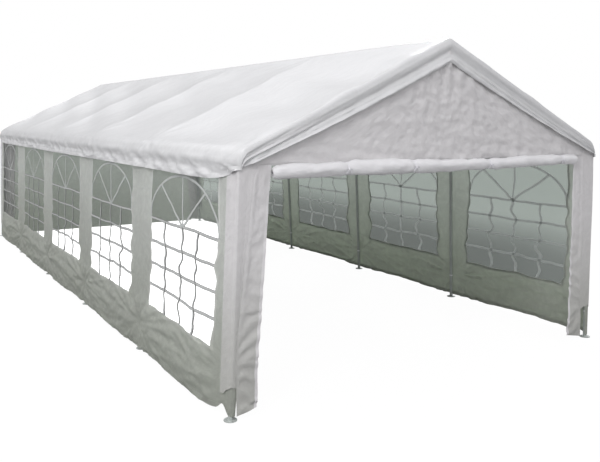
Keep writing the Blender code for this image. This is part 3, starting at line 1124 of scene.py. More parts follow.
def straight(start, end):
    return lambda share: (
        start[0] + (end[0] - start[0]) * share,
        start[1] + (end[1] - start[1]) * share,
    )


def arch(share):
    """The arched bar over the spring line."""
    turn = math.pi * (1 - share)
    half = WINDOW_WIDTH / 2 + 0.012
    return half * math.cos(turn), SPRING_LINE + 0.01 + ARCH_RISE * math.sin(turn)


def grid_bars(shape, side, middle, width):
    half = WINDOW_WIDTH / 2
    for row in BAR_ROWS:
        add_bar(shape, side, middle, straight((-half, row), (half, row)), width, 56, 0.006)
    for column in (-half / 2, 0.0, half / 2):
        foot = (column, WINDOW_SILL)
        top = (column, SPRING_LINE)
        add_bar(shape, side, middle, straight(foot, top), 1.3 * width, 44, 0.09, 0.0075)


def arch_bars(shape, side, middle, width):
    centre = (0.0, SPRING_LINE)
    add_bar(shape, side, middle, arch, width, 60, 0.004)
    add_bar(shape, side, middle, straight(centre, (0.0, WINDOW_HEAD)), width, 20, 0.004)
    for end in (-0.47, 0.47):
        add_bar(shape, side, middle, straight(centre, (end, 1.66)), width, 22, 0.004)


def window_border(shape, side, middle, width):
    """The welded band round the window, over the cut edge of the wall sheet."""
    surface = wall_place(side, 0.0009)
    half = WINDOW_WIDTH / 2
    uprights = stations(WINDOW_SILL - width, WINDOW_HEAD, 0.03)
    for edge in (-1, 1):
        inner = middle + edge * (half - 0.003)
        outer = middle + edge * (half + width)
        add_patch(shape, stations(min(inner, outer), max(inner, outer), width / 3), uprights, surface)
    add_patch(
        shape,
        stations(middle - half - 0.003, middle + half + 0.003, 0.03),
        stations(WINDOW_SILL - width, WINDOW_SILL + 0.003, width / 3),
        surface,
    )


def make_windows(sizes, materials):
    half = WINDOW_WIDTH / 2 + LAP
    for side_name, side in SIDES.items():
        for number, middle in enumerate(WINDOW_Y, start=1):
            name = f"{side_name}_{number}"
            shape = bmesh.new()
            add_patch(
                shape,
                stations(middle - half, middle + half, sizes.wall_step),
                stations(WINDOW_SILL - LAP, WINDOW_HEAD + LAP, sizes.wall_step),
                film_place(side, 0.0),
            )
            film = finish_sheet(
                f"window_film_{name}", shape, sizes.film_thickness, materials["film"]
            )
            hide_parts(f"window_{name}")
            shape = bmesh.new()
            grid_bars(shape, side, middle, sizes.bar_width)
            bars = finish_sheet(
                f"glazing_bars_{name}", shape, 0.0006, materials[f"bars_{side_name}"]
            )
            shape = bmesh.new()
            arch_bars(shape, side, middle, sizes.bar_width)
            arches = finish_sheet(
                f"arched_bars_{name}", shape, 0.0006, materials[f"arches_{side_name}"]
            )
            shape = bmesh.new()
            window_border(shape, side, middle, sizes.border_width)
            border = finish_sheet(
                f"window_border_{name}", shape, 0.0006, materials["border"]
            )


# The tent's two ends
def end_half_width(z):
    """Half the width of the tent's end at this height, inside the cover."""
    if z > KNEE_CENTRE_Z + KNEE_RADIUS * math.cos(ROOF_ANGLE):
        return (APEX_Z - z) / math.tan(ROOF_ANGLE)
    if z > EAVE_Z:
        return KNEE_CENTRE_X + math.sqrt(max(KNEE_RADIUS**2 - (z - KNEE_CENTRE_Z) ** 2, 0.0))
    return EAVE_X + (EAVE_Z - z) * math.tan(LEG_ANGLE)


def gable_stand(end, x, z):
    """How far a gable sheet stands off its plane: finely crumpled, and slack in the middle."""
    edge = end_half_width(z) - abs(x)
    inside = ease(0.12, 0.30, edge)
    seed = 20.0 + end
    crumple = 0.010 * (creases(x * 3.5 + z, z * 4.5, seed) - 0.42)
    crumple += 0.008 * waves(x * 7.0 + z * 3, z * 9.0 - x * 2, seed + 3)
    crumple += 0.012 * (creases(x * 8.0 + z * 5, z * 13.0, seed + 6) - 0.42)
    crumple += 0.0065 * waves(x * 15.0 + z * 8, z * 26.0, seed + 4)
    stretched = 0.35 + 0.65 * ease(-1.5, -0.3, x * -end) * (1 - 0.4 * ease(1.0, 1.8, x * -end))
    crumple = crumple * stretched + 0.010 * waves(x * 0.9, z * 1.7, seed + 5)
    # folds hang from the ridge and from the eave
    crumple += 0.010 * math.cos(x * 46) * math.exp(-abs(x) / 0.3) * ease(2.2, 2.7, z)
    crumple += 0.006 * math.sin((z - 1.9) * 60 + x * 8) * math.exp(-(z - 1.9) / 0.08)
    return inside * crumple


def gable_place(end):
    """Places gable points from a share across, -1 to 1, and a height."""

    def place(share, z):
        half = max(end_half_width(z) - 0.004, 0.0)
        x = share / 2.0 * half
        y = end * (HALF_LENGTH + GABLE_OFFSET + gable_stand(end, x, z))
        return Vector((x, y, z))

    return place


def strip_place(side, end, edges, shift=0.0):
    """Places corner strip points from a share, 0 at the leg to 1 at the doorway, and a height."""
    (inner_foot, inner_lean), (outer_foot, outer_lean) = edges

    def place(share_run, up):
        share = share_run / 0.2
        hem = 0.031 + 0.041 * share
        z = hem + (up - WALL_BOTTOM) / (DOOR_HEAD - WALL_BOTTOM) * (DOOR_HEAD - hem)
        outer = min(outer_foot - outer_lean * z, FOOT_HALF_WIDTH - 0.039)
        inner = inner_foot - inner_lean * z + 0.006 * waves(z * 3.0, 0.0, side * 3.0 + end)
        inner -= 0.012 * math.exp(-(((z - 0.15) / 0.12) ** 2))
        x = outer + (inner - outer) * share
        low = 1 - ease(0.3, 1.5, z)
        free = ease(0.0, 0.35, share)
        slant = z + 0.035 * share * math.copysign(1, math.sin(z * 9 + side))
        stand = 0.008 * low * math.sin(slant * 46 + 5 * waves(z * 2.5, share, side * 4.0)) * free
        stand += 0.010 * waves(z * 2.2, share * 0.9, side * 6.0 + end) * free
        stand += 0.007 * waves(slant * 5.0, share * 1.3, side * 8.0 + end) * (0.3 + 0.7 * free)
        stand += 0.005 * waves(slant * 13.0, share * 2.6, side * 9.0 + end) * free
        stand += 0.006 * (creases(share * 1.2, slant * 4.0, side * 8.0 + end) - 0.42)
        stand += 0.005 * math.exp(-(((share - 0.12) / 0.1) ** 2)) * ease(0.4, 0.8, z)
        stand *= ease(DOOR_HEAD, DOOR_HEAD - 0.12, z)
        return Vector(
            (side * x, end * (HALF_LENGTH + STRIP_OFFSET + max(stand, -0.004) + shift), z)
        )

    return place


def sleeve_place(side, end, edges):
    """Places points of the sleeve round a corner leg, from its edge on the tent's side."""
    outer_foot, outer_lean = edges[1]

    def place(around, up):
        foot = 0.17 + 0.09 * ease(0.0, SLEEVE_SIDE + SLEEVE_ARC, around)
        foot += 0.08 * (side > 0) + 0.02 * waves(around * 20, side, 3.0)
        height = foot + (up - WALL_BOTTOM) / (SLEEVE_TOP - WALL_BOTTOM) * (SLEEVE_TOP - foot)
        pleat = 0.0030 * waves(around * 16, height * 0.7, side * 5.0)
        pleat += 0.0012 * math.sin(around * 240 + 2.5 * waves(height * 0.8, around * 2, side * 6.0))
        pleat += 0.0032 * waves(height * 1.8, around * 4.0, side * 7.0 + end)
        round_leg = ease(0.0, 0.09, around)
        stand = WALL_OFFSET + 0.0016 + (0.0060 + max(pleat, -0.0045)) * round_leg
        turn = clamp((around - SLEEVE_SIDE) / SLEEVE_ARC, 0.0, 1.0) * math.pi / 2
        # under the cover it lies close to the leg
        room = 0.0223 + 0.012 * math.sin(turn) ** 2 + 0.02 * (1 - ease(1.68, 1.80, height))
        stand = min(stand, room)
        centre = on_wall(side, end * HALF_LENGTH, height, 0.0)
        if around < SLEEVE_SIDE:
            y = end * (HALF_LENGTH - SLEEVE_SIDE + around)
            return on_wall(side, y, height, stand)
        spread = centre + Vector((side * stand * math.cos(turn), end * stand * math.sin(turn), 0.0))
        if around > SLEEVE_SIDE + SLEEVE_ARC:
            share = (around - SLEEVE_SIDE - SLEEVE_ARC) / SLEEVE_RUN
            edge = min(outer_foot - outer_lean * height, FOOT_HALF_WIDTH - 0.045) - 0.02
            spread.x = centre.x + (side * edge - centre.x) * share
            spread.y -= end * 0.003 * share
        return spread

    return place


def make_gable(end_name, end, sizes, materials):
    shape = bmesh.new()
    add_patch(
        shape,
        stations(-2.0, 2.0, sizes.gable_step),
        stations(DOOR_HEAD - 0.008, APEX_Z - 0.012, sizes.gable_step),
        gable_place(end),
    )
    gable = finish_sheet(
        f"{end_name}_gable_sheet", shape, sizes.sheet_thickness, materials["gable"]
    )
    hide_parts(f"{end_name}_gable_wall")
    for side_name, side in SIDES.items():
        edges = STRIP_EDGES[f"{end_name}_{side_name}"]
        shape = bmesh.new()
        add_patch(
            shape,
            joined_stations(
                stations(0.0, SLEEVE_SIDE, 0.012),
                stations(SLEEVE_SIDE, SLEEVE_SIDE + SLEEVE_ARC, SLEEVE_ARC / 6),
                stations(SLEEVE_SIDE + SLEEVE_ARC, SLEEVE_SIDE + SLEEVE_ARC + SLEEVE_RUN, 0.01),
            ),
            stations(WALL_BOTTOM, SLEEVE_TOP, 0.024),
            sleeve_place(side, end, edges),
        )
        sleeve = finish_sheet(
            f"{end_name}_corner_sleeve_{side_name}",
            shape,
            sizes.sheet_thickness,
            materials["gable"],
        )
        shape = bmesh.new()
        add_patch(
            shape,
            stations(0.0, 0.2, 0.012),
            stations(WALL_BOTTOM, DOOR_HEAD, 0.014),
            strip_place(side, end, edges),
        )
        strip = finish_sheet(
            f"{end_name}_corner_strip_{side_name}",
            shape,
            sizes.sheet_thickness,
            materials["gable"],
        )
        shape = bmesh.new()
        add_patch(
            shape,
            stations(0.172, 0.2, 0.014),
            stations(WALL_BOTTOM, DOOR_HEAD - 0.03, 0.014),
            strip_place(side, end, edges, sizes.sheet_thickness),
        )
        zip_tape = finish_sheet(
            f"{end_name}_door_zip_{side_name}", shape, 0.001, materials["zip"]
        )


def make_back_door(sizes, materials):
    """The back door sheet, let down and zipped to the corner strips."""

    def place(share_run, up):
        share = share_run / 1.75
        z = up
        inner_foot, inner_lean = STRIP_EDGES["back_left"][0]
        x = share * (inner_foot - inner_lean * z + 0.004)
        free = ease(1.0, 0.93, abs(share))
        stand = 0.010 * waves(x * 1.3, z * 0.7, 31.0)
        stand += 0.007 * (creases(x * 2.4, z * 1.1, 33.0) - 0.4)
        stand += 0.004 * math.sin(x * 26 + 3 * waves(x * 2, z, 35.0)) * (1 - ease(0.2, 1.4, z))
        stand += 0.0025 * (creases(x * 9.0, z * 9.0, 37.0) - 0.4)
        stand *= ease(DOOR_HEAD, DOOR_HEAD - 0.1, z)
        return Vector((x, HALF_LENGTH + GABLE_OFFSET + stand * free, z))

    shape = bmesh.new()
    add_patch(
        shape,
        stations(-1.75, 1.75, 0.032),
        stations(WALL_BOTTOM, DOOR_HEAD - 0.002, 0.032),
        place,
    )
    door = finish_sheet(
        "back_door_sheet", shape, sizes.sheet_thickness, materials["wall"]
    )
    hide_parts("back_door_panel")


# The rolled front door and its ties
def roll_radius(x):
    """The outer radius of the roll: fatter where it sags, and pinched at the ties."""
    radius = 0.050 + 0.015 * math.exp(-(((x + 0.7) / 0.55) ** 2)) + 0.008 * waves(x * 2.9, 0.0, 41.0)
    tip = min(x - ROLL_LEFT, ROLL_RIGHT - x)
    radius *= 0.62 + 0.38 * math.sqrt(clamp(tip / 0.035, 0.0, 1.0))
    pinch = max(math.exp(-(((x - tie) / 0.04) ** 2)) for tie in TIE_X)
    return radius * (1 - 0.2 * pinch)


def roll_centre(x):
    sag = 0.007 * math.sin(x * 3.1 + 1) + 0.009 * waves(x * 2.3, 0.0, 43.0)
    return Vector((x, -HALF_LENGTH - GABLE_OFFSET - 0.012, DOOR_HEAD - 0.055 - sag))


def roll_place(run, turns):
    """A point of the rolled sheet: run is across the tent, and turns go from the heart outwards."""
    share = turns / ROLL_TURNS
    angle = 2 * math.pi * (ROLL_TURNS - turns)
    radius = roll_radius(run) * (0.34 + 0.66 * share)
    lumps = 1 + 0.16 * waves(run * 5.0, math.sin(angle) * 1.3, 45.0 + math.cos(angle))
    lumps += 0.10 * waves(run * 14.0 + 2 * math.sin(angle), math.cos(angle) * 2.0, 47.0)
    lumps += 0.04 * math.sin(run * 34 + 2.5 * math.sin(angle)) * (1 - math.cos(angle)) / 2
    lumps += 0.09 * (creases(run * 9.0, 1.6 * math.sin(angle), 49.0 + math.cos(angle)) - 0.45)
    radius *= lumps
    centre = roll_centre(run)
    return centre + Vector((0.0, -radius * math.sin(angle), radius * math.cos(angle)))


def make_door_roll(sizes, materials):
    shape = bmesh.new()
    add_patch(
        shape,
        joined_stations(
            stations(ROLL_LEFT, ROLL_LEFT + 0.035, 0.005),
            stations(ROLL_LEFT + 0.035, ROLL_RIGHT - 0.035, 0.025),
            stations(ROLL_RIGHT - 0.035, ROLL_RIGHT, 0.005),
        ),
        stations(0.0, ROLL_TURNS, 1 / 20),
        roll_place,
    )
    roll = finish_sheet("front_door_rolled", shape, 0.0011, materials["roll"])
    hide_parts("front_door_roll")
    ties = [make_roll_tie(number, x, materials) for number, x in enumerate(TIE_X, start=1)]


def make_roll_tie(number, x, materials):
    """A ribbon round the roll, tied in front in a bow."""
    shape = bmesh.new()
    width = 0.018

    def band(angle, offset):
        radius = roll_radius(x) + 0.004
        centre = roll_centre(x)
        return centre + Vector(
            (offset, -radius * math.sin(angle), radius * math.cos(angle))
        )

    add_patch(
        shape,
        stations(0.0, 2 * math.pi, math.pi / 14),
        stations(-width / 2, width / 2, width / 2),
        band,
    )
    front = roll_centre(x) + Vector((0.0, -roll_radius(x) - 0.008, -0.004))

    def loops(turn, offset):
        out = math.cos(turn)
        spread = Vector((0.027 * out, -0.003 * abs(out), 0.006 * math.sin(2 * turn) - 0.006 * abs(out)))
        tilt = Vector((0.0, -0.6, 0.8)) * offset
        return front + spread + tilt

    add_patch(
        shape,
        stations(0.0, 2 * math.pi, math.pi / 18),
        stations(-0.006, 0.006, 0.006),
        loops,
    )
    for tail in (-1, 1):

        def hang(run, offset, tail=tail):
            return front + Vector(
                (tail * (0.9 * run) + offset, -0.004 + 0.15 * run, -0.8 * run - 4 * run * run)
            )

        add_patch(shape, stations(0.0, 0.034, 0.006), stations(-0.005, 0.005, 0.005), hang)
    bmesh.ops.create_icosphere(
        shape, subdivisions=2, radius=0.0085, matrix=Matrix.Translation(front)
    )
    tie = finish_sheet(f"roll_tie_{number}", shape, 0.0008, materials["ribbon"])
    return tie


# The frame's own finish and small hardware
def make_frame_finish(materials):
    for name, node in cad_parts.items():
        if name.startswith(("leg", "rafter", "ridge_purlin", "eave_purlin")):
            node.data.materials.clear()
            node.data.materials.append(materials["steel"])


def add_bolt(shape, place, direction):
    """A hexagon bolt head with its washer, its foot on the tube."""
    turn = direction.to_track_quat("Z", "Y").to_matrix().to_4x4()
    for radius, low, high, sides in ((0.0085, 0.0, 0.0015, 16), (0.0058, 0.0015, 0.0055, 6)):
        bmesh.ops.create_cone(
            shape,
            cap_ends=True,
            segments=sides,
            radius1=radius,
            radius2=radius,
            depth=high - low,
            matrix=Matrix.Translation(place + direction * ((low + high) / 2)) @ turn,
        )


def make_hardware(sizes, materials):
    """Connector bolts on the inner side of every arm, and the straps that tie the walls to the legs."""
    bolts = bmesh.new()
    knee = Vector((KNEE_X, 0.0, KNEE_HEIGHT))
    ridge = Vector((0.0, 0.0, RIDGE_HEIGHT))
    down_leg = Vector((LEG_LEAN, 0.0, -1.0)).normalized()
    up_rafter = (ridge - knee).normalized()
    arms = [(knee, down_leg), (knee, up_rafter), (ridge, -up_rafter)]
    for y in FRAME_Y:
        for side in SIDES.values():
            for corner, along in arms:
                inward = Vector((-abs(along.z), 0.0, along.x * math.copysign(1, along.z)))
                if along.z > 0 or corner is ridge:
                    inward = Vector((-abs(along.z), 0.0, -abs(along.x)))
                place = corner + along * 0.118 + inward * (SLEEVE_RADIUS - 0.0006)
                add_bolt(
                    bolts,
                    Vector((side * place.x, y, place.z)),
                    Vector((side * inward.x, 0.0, inward.z)),
                )
    finish_solid("connector_bolts", bolts, materials["zinc"])
    straps = bmesh.new()
    for y in FRAME_Y:
        for side in SIDES.values():
            centre = on_wall(side, y, TIE_HEIGHT, 0.0)

            def loop(turn, offset, centre=centre):
                radius = TUBE_RADIUS + 0.0008
                return centre + Vector(
                    (radius * math.cos(turn), radius * math.sin(turn), offset)
                )

            add_patch(
                straps,
                stations(0.0, 2 * math.pi, math.pi / 10),
                stations(-0.009, 0.009, 0.009),
                loop,
            )
    finish_sheet("wall_tie_straps", straps, 0.0008, materials["ribbon"])


# The stage: floor, light and camera
CAMERA_PLACE = (-4.268, -9.632, 2.243)
CAMERA_TURN = math.radians(31.39)  # right of the tent's length
CAMERA_PITCH = math.radians(-8.9)
CAMERA_ROLL = math.radians(0.17)
LENS = 43.04
SENSOR = 36.0


def make_camera():
    data = bpy.data.cameras.new("viewpoint")
    data.lens = LENS
    data.sensor_width = SENSOR
    data.clip_end = 200.0
    camera = bpy.data.objects.new("viewpoint", data)
    bpy.context.scene.collection.objects.link(camera)
    camera.matrix_world = (
        Matrix.Translation(CAMERA_PLACE)
        @ Matrix.Rotation(-CAMERA_TURN, 4, "Z")
        @ Matrix.Rotation(math.pi / 2 + CAMERA_PITCH, 4, "X")
        @ Matrix.Rotation(CAMERA_ROLL, 4, "Z")
    )
    bpy.context.scene.camera = camera


def make_world(sky, surroundings):
    """A soft sky: bright overhead, duller to the sides, and plain white behind the tent."""
    world = bpy.data.worlds.new("studio_sky")
    bpy.context.scene.world = world
    world.use_nodes = True
    tree = world.node_tree
    tree.nodes.clear()
    coordinates = add_node(tree, "ShaderNodeTexCoord")
    parts = add_node(
        tree, "ShaderNodeSeparateXYZ", inputs={"Vector": coordinates.outputs["Generated"]}
    )
    height = add_node(
        tree,
        "ShaderNodeMapRange",
        {"interpolation_type": "SMOOTHSTEP"},
        {
            "Value": parts.outputs["Z"],
            "From Min": 0.26,
            "From Max": 0.44,
            "To Min": 0.37,
            "To Max": 1.42,
        },
    )
    zenith = add_node(
        tree,
        "ShaderNodeMapRange",
        {"interpolation_type": "SMOOTHSTEP"},
        {
            "Value": parts.outputs["Z"],
            "From Min": 0.46,
            "From Max": 0.66,
            "To Min": 0.0,
            "To Max": -0.50,
        },
    )
    gradient = add_node(
        tree, "ShaderNodeMath", {}, {0: height.outputs["Result"], 1: zenith.outputs["Result"]}
    )
    # the left and the front are the brighter sides
    leftward = add_node(
        tree,
        "ShaderNodeMath",
        {"operation": "MULTIPLY_ADD"},
        {0: parts.outputs["X"], 1: -0.22, 2: gradient.outputs[0]},
    )
    forward = add_node(
        tree,
        "ShaderNodeMath",
        {"operation": "MULTIPLY_ADD"},
        {0: parts.outputs["Y"], 1: -0.10, 2: leftward.outputs[0]},
    )
    light = add_node(
        tree,
        "ShaderNodeBackground",
        inputs={"Color": (*sky, 1.0), "Strength": forward.outputs[0]},
    )
    path = add_node(tree, "ShaderNodeLightPath")
    behind_film = add_node(
        tree,
        "ShaderNodeMath",
        {"operation": "GREATER_THAN"},
        {0: path.outputs["Transparent Depth"], 1: 0.5},
    )
    seen = add_node(
        tree,
        "ShaderNodeMix",
        {"data_type": "RGBA"},
        {
            "Factor": behind_film.outputs[0],
            "A": (1.0, 1.0, 1.0, 1.0),
            "B": (*surroundings, 1.0),
        },
    )
    backdrop = add_node(tree, "ShaderNodeBackground", inputs={"Color": seen.outputs["Result"]})
    mixed = add_node(
        tree,
        "ShaderNodeMixShader",
        inputs={
            "Fac": path.outputs["Is Camera Ray"],
            1: light.outputs[0],
            2: backdrop.outputs[0],
        },
    )
    add_node(tree, "ShaderNodeOutputWorld", inputs={"Surface": mixed.outputs[0]})


def floor_material(surroundings):
    """Pale matt studio floor, lit evenly to near white.

    Outside the tent, what shows through the windows is duller: dark close by, and paler far off.
    """
    material, tree = new_material("pale_studio_floor")
    coordinates = add_node(tree, "ShaderNodeTexCoord")
    parts = add_node(
        tree, "ShaderNodeSeparateXYZ", inputs={"Vector": coordinates.outputs["Object"]}
    )
    sideways = add_node(
        tree, "ShaderNodeMath", {"operation": "ABSOLUTE"}, {0: parts.outputs["X"]}
    )
    lengthways = add_node(
        tree, "ShaderNodeMath", {"operation": "ABSOLUTE"}, {0: parts.outputs["Y"]}
    )
    past_end = add_node(
        tree, "ShaderNodeMath", {"operation": "SUBTRACT"}, {0: lengthways.outputs[0], 1: 3.1}
    )
    past = add_node(
        tree,
        "ShaderNodeMath",
        {"operation": "MAXIMUM"},
        {0: sideways.outputs[0], 1: past_end.outputs[0]},
    )
    outside = add_node(
        tree,
        "ShaderNodeMapRange",
        inputs={"Value": past.outputs[0], "From Min": 2.0, "From Max": 2.4},
    )
    far = add_node(
        tree,
        "ShaderNodeMapRange",
        {"interpolation_type": "SMOOTHSTEP"},
        {"Value": past.outputs[0], "From Min": 4.5, "From Max": 9.5},
    )
    scenery = add_node(
        tree,
        "ShaderNodeMix",
        {"data_type": "RGBA"},
        {
            "Factor": far.outputs["Result"],
            "A": (*[c * 0.33 for c in surroundings], 1.0),
            "B": (*surroundings, 1.0),
        },
    )
    path = add_node(tree, "ShaderNodeLightPath")
    behind_film = add_node(
        tree,
        "ShaderNodeMath",
        {"operation": "GREATER_THAN"},
        {0: path.outputs["Transparent Depth"], 1: 0.5},
    )
    # through film, the floor inside the tent glows 1.8 times as bright: painted light that brings it back
    # to white behind the film
    floor_seen = add_node(
        tree,
        "ShaderNodeMix",
        {"data_type": "RGBA"},
        {
            "Factor": outside.outputs["Result"],
            "A": (1.8, 1.8, 1.8, 1.0),
            "B": scenery.outputs["Result"],
        },
    )
    glow = add_node(
        tree,
        "ShaderNodeMix",
        {"data_type": "RGBA"},
        {
            "Factor": behind_film.outputs[0],
            "A": (1.0, 1.0, 1.0, 1.0),
            "B": floor_seen.outputs["Result"],
        },
    )
    even = add_node(
        tree, "ShaderNodeEmission", inputs={"Color": glow.outputs["Result"], "Strength": 1.05}
    )
    matt = add_node(tree, "ShaderNodeBsdfDiffuse", inputs={"Color": (0.42, 0.42, 0.42, 1.0)})
    share = add_node(
        tree,
        "ShaderNodeMath",
        {"operation": "MULTIPLY"},
        {0: path.outputs["Is Camera Ray"], 1: 0.93},
    )
    mixed = add_node(
        tree,
        "ShaderNodeMixShader",
        inputs={"Fac": share.outputs[0], 1: matt.outputs[0], 2: even.outputs[0]},
    )
    add_node(tree, "ShaderNodeOutputMaterial", inputs={"Surface": mixed.outputs[0]})
    return material


def make_floor(surroundings):
    shape = bmesh.new()
    bmesh.ops.create_grid(
        shape,
        x_segments=2,
        y_segments=2,
        size=60.0,
        matrix=Matrix.Translation((0.0, 0.0, -0.0005)),
    )
    mesh = bpy.data.meshes.new("studio_floor")
    shape.to_mesh(mesh)
    shape.free()
    new_object("studio_floor", mesh, floor_material(surroundings))


def add_soft_light(name, place, aim, size, power, colour):
    data = bpy.data.lights.new(name, "AREA")
    data.shape = "RECTANGLE"
    data.size = size[0]
    data.size_y = size[1]
    data.energy = power
    data.color = colour
    light = bpy.data.objects.new(name, data)
    light.location = place
    light.rotation_mode = "QUATERNION"
    light.rotation_quaternion = (Vector(aim) - Vector(place)).to_track_quat("-Z", "Y")
    light.visible_camera = False
    bpy.context.scene.collection.objects.link(light)


# What a user can change
class MarqueeSizes(PropertyGroup):
    sheet_thickness: FloatProperty(
        name="Sheet thickness",
        description="Thickness that the woven sheets are drawn with",
        default=0.0012,
        min=0.0002,
        unit="LENGTH",
    )
    film_thickness: FloatProperty(
        name="Film thickness",
        description="Thickness of the clear window film",
        default=0.0005,
        min=0.0002,
        unit="LENGTH",
    )
    roof_sag: FloatProperty(
        name="Roof sag",
        description="How far the cover sags between two rafters",
        default=0.045,
        min=0.0,
        unit="LENGTH",
    )
    pull_depth: FloatProperty(
        name="Diagonal pull depth",
        description="Height of the cover's diagonal pulls",
        default=0.018,
        min=0.0,
        unit="LENGTH",
    )
    pull_start: FloatProperty(
        name="Diagonal pull start",
        description="Where along the ridge the diagonal pulls start",
        default=0.5,
        unit="LENGTH",
    )
    bar_width: FloatProperty(
        name="Glazing bar width",
        description="Width of the white bars on the windows",
        default=0.026,
        min=0.005,
        unit="LENGTH",
    )
    border_width: FloatProperty(
        name="Window border width",
        description="Width of the welded band round each window",
        default=0.024,
        min=0.005,
        unit="LENGTH",
    )
    roof_step: FloatProperty(
        name="Roof grid",
        description="Distance between the cover's mesh lines",
        default=0.04,
        min=0.01,
        unit="LENGTH",
    )
    wall_step: FloatProperty(
        name="Window grid",
        description="Distance between the mesh lines of the windows",
        default=0.026,
        min=0.01,
        unit="LENGTH",
    )
    pier_step: FloatProperty(
        name="Wall grid",
        description="Distance between the mesh lines of the walls beside the windows",
        default=0.0172,
        min=0.01,
        unit="LENGTH",
    )
    gable_step: FloatProperty(
        name="Gable grid",
        description="Distance between the mesh lines of the gables",
        default=0.017,
        min=0.01,
        unit="LENGTH",
    )


class MarqueeColours(PropertyGroup):
    roof: FloatVectorProperty(
        name="Roof", description="Colour of the cover", subtype="COLOR", default=linear("E5E5E6")
    )
    wall: FloatVectorProperty(
        name="Walls", description="Colour of the side sheets", subtype="COLOR", default=linear("F4F3F2")
    )
    gable: FloatVectorProperty(
        name="Gables", description="Colour of the end sheets", subtype="COLOR", default=linear("EFEDEE")
    )
    bars: FloatVectorProperty(
        name="Bars", description="Colour of the glazing bars", subtype="COLOR", default=linear("EDEEED")
    )
    film: FloatVectorProperty(
        name="Film", description="Tint of the clear film", subtype="COLOR", default=linear("DCE2DF")
    )
    ribbon: FloatVectorProperty(
        name="Ties", description="Colour of the ribbons", subtype="COLOR", default=linear("E9E8EC")
    )
    steel: FloatVectorProperty(
        name="Steel", description="Colour of the tubes", subtype="COLOR", default=linear("B9BEBB")
    )
    surroundings: FloatVectorProperty(
        name="Surroundings",
        description="What shows dimly through the windows",
        subtype="COLOR",
        default=linear("9FA8A2"),
    )


MATERIALS = {}


def make_materials(colours):
    painted_green_light = (0.925, 1.0, 0.93)  # a painted green tint on the light through the sheets, standing in for green light from the surroundings
    MATERIALS["roof"] = woven_sheet(
        "coated_woven_polyethylene_roof", colours.roof, 0.2, 0.5, 0.010, 0.27, 0.005, (0.5, 0.1)
    )
    MATERIALS["hem"] = woven_sheet("doubled_polyethylene_hem", [c * 0.93 for c in colours.roof], 0.1, 0.3, 0.001, 0.4, 0.0035, (0.6, 0.3))
    MATERIALS["wall"] = woven_sheet(
        "coated_woven_polyethylene_wall", colours.wall, 0.57, 0.25, 0.026, 0.5, 0.007, (0.7, 0.7), painted_green_light
    )
    MATERIALS["border"] = woven_sheet(
        "welded_polyethylene_band", colours.wall, 0.4, 0.2, 0.001, 0.5, 0.0035, (0.6, 0.6), painted_green_light
    )
    MATERIALS["gable"] = woven_sheet(
        "coated_woven_polyethylene_gable", colours.gable, 0.26, 0.11, 0.009, 0.38, 0.007, (0.5, 0.4)
    )
    MATERIALS["roll"] = woven_sheet(
        "rolled_polyethylene_door", linear("F2F1F3"), 0.12, 0.16, 0.012, 0.36, 0.006, (0.4, 0.4)
    )
    # the left bars and arches get painted shadow edges and let less light through, the right bars none
    # and more: a shaded and a lit copy of one tape
    MATERIALS["bars_left"] = ribbed_tape(
        "pvc_glazing_tape_painted_shadow_edges", colours.bars, 0.003, 0.45, glow=0.6, edge=0.0086
    )
    MATERIALS["arches_left"] = ribbed_tape(
        "pvc_arch_tape_painted_shadow_edges", linear("D0D3D1"), 0.003, 0.45, glow=0.25, edge=0.0108
    )
    MATERIALS["bars_right"] = MATERIALS["arches_right"] = ribbed_tape(
        "milky_pvc_glazing_tape", linear("D3D6D4"), 0.003, 0.45, glow=0.85
    )
    MATERIALS["zip"] = ribbed_tape("woven_nylon_zip_tape", colours.gable, 0.004, 0.5, glow=0.2)
    MATERIALS["ribbon"] = ribbed_tape("polyester_ribbon", colours.ribbon, 0.002, 0.55)
    MATERIALS["film"] = clear_film(colours.film, 0.12)
    MATERIALS["steel"] = coated_steel("galvanised_steel_tube", colours.steel, 0.42)
    MATERIALS["zinc"] = coated_steel("zinc_plated_bolt", colours.steel, 0.3)


# One operator for each group of pieces
class MARQUEE_OT_materials(Operator):
    """Make the sheet, film, tape and steel finishes"""

    bl_idname = "marquee.materials"
    bl_label = "Finishes"

    def execute(self, context):
        make_materials(context.scene.marquee_colours)
        return {"FINISHED"}


class MARQUEE_OT_steel_frame(Operator):
    """Finish the steel tubes and add their bolts and the wall ties"""

    bl_idname = "marquee.steel_frame"
    bl_label = "Steel frame"

    def execute(self, context):
        make_frame_finish(MATERIALS)
        make_hardware(context.scene.marquee_sizes, MATERIALS)
        return {"FINISHED"}


class MARQUEE_OT_roof_cover(Operator):
    """Lay the one-piece cover over the frame, with its valances and end flaps"""

    bl_idname = "marquee.roof_cover"
    bl_label = "Roof cover"

    def execute(self, context):
        make_roof_cover(context.scene.marquee_sizes, MATERIALS)
        return {"FINISHED"}


class MARQUEE_OT_side_walls(Operator):
    """Hang the two long side sheets and tie them to the legs"""

    bl_idname = "marquee.side_walls"
    bl_label = "Side walls"

    def execute(self, context):
        make_side_walls(context.scene.marquee_sizes, MATERIALS)
        return {"FINISHED"}


class MARQUEE_OT_windows(Operator):
    """Weld the clear windows with their arched glazing bars into the side sheets"""

    bl_idname = "marquee.windows"
    bl_label = "Windows"

    def execute(self, context):
        make_windows(context.scene.marquee_sizes, MATERIALS)
        return {"FINISHED"}


class MARQUEE_OT_gables(Operator):
    """Hang both gable sheets, their corner strips and zips"""

    bl_idname = "marquee.gables"
    bl_label = "Gables"

    def execute(self, context):
        for end_name, end in ENDS.items():
            make_gable(end_name, end, context.scene.marquee_sizes, MATERIALS)
        return {"FINISHED"}


class MARQUEE_OT_doors(Operator):
    """Roll up the front door and let down the back door"""

    bl_idname = "marquee.doors"
    bl_label = "Doors"

    def execute(self, context):
        make_door_roll(context.scene.marquee_sizes, MATERIALS)
        make_back_door(context.scene.marquee_sizes, MATERIALS)
        return {"FINISHED"}


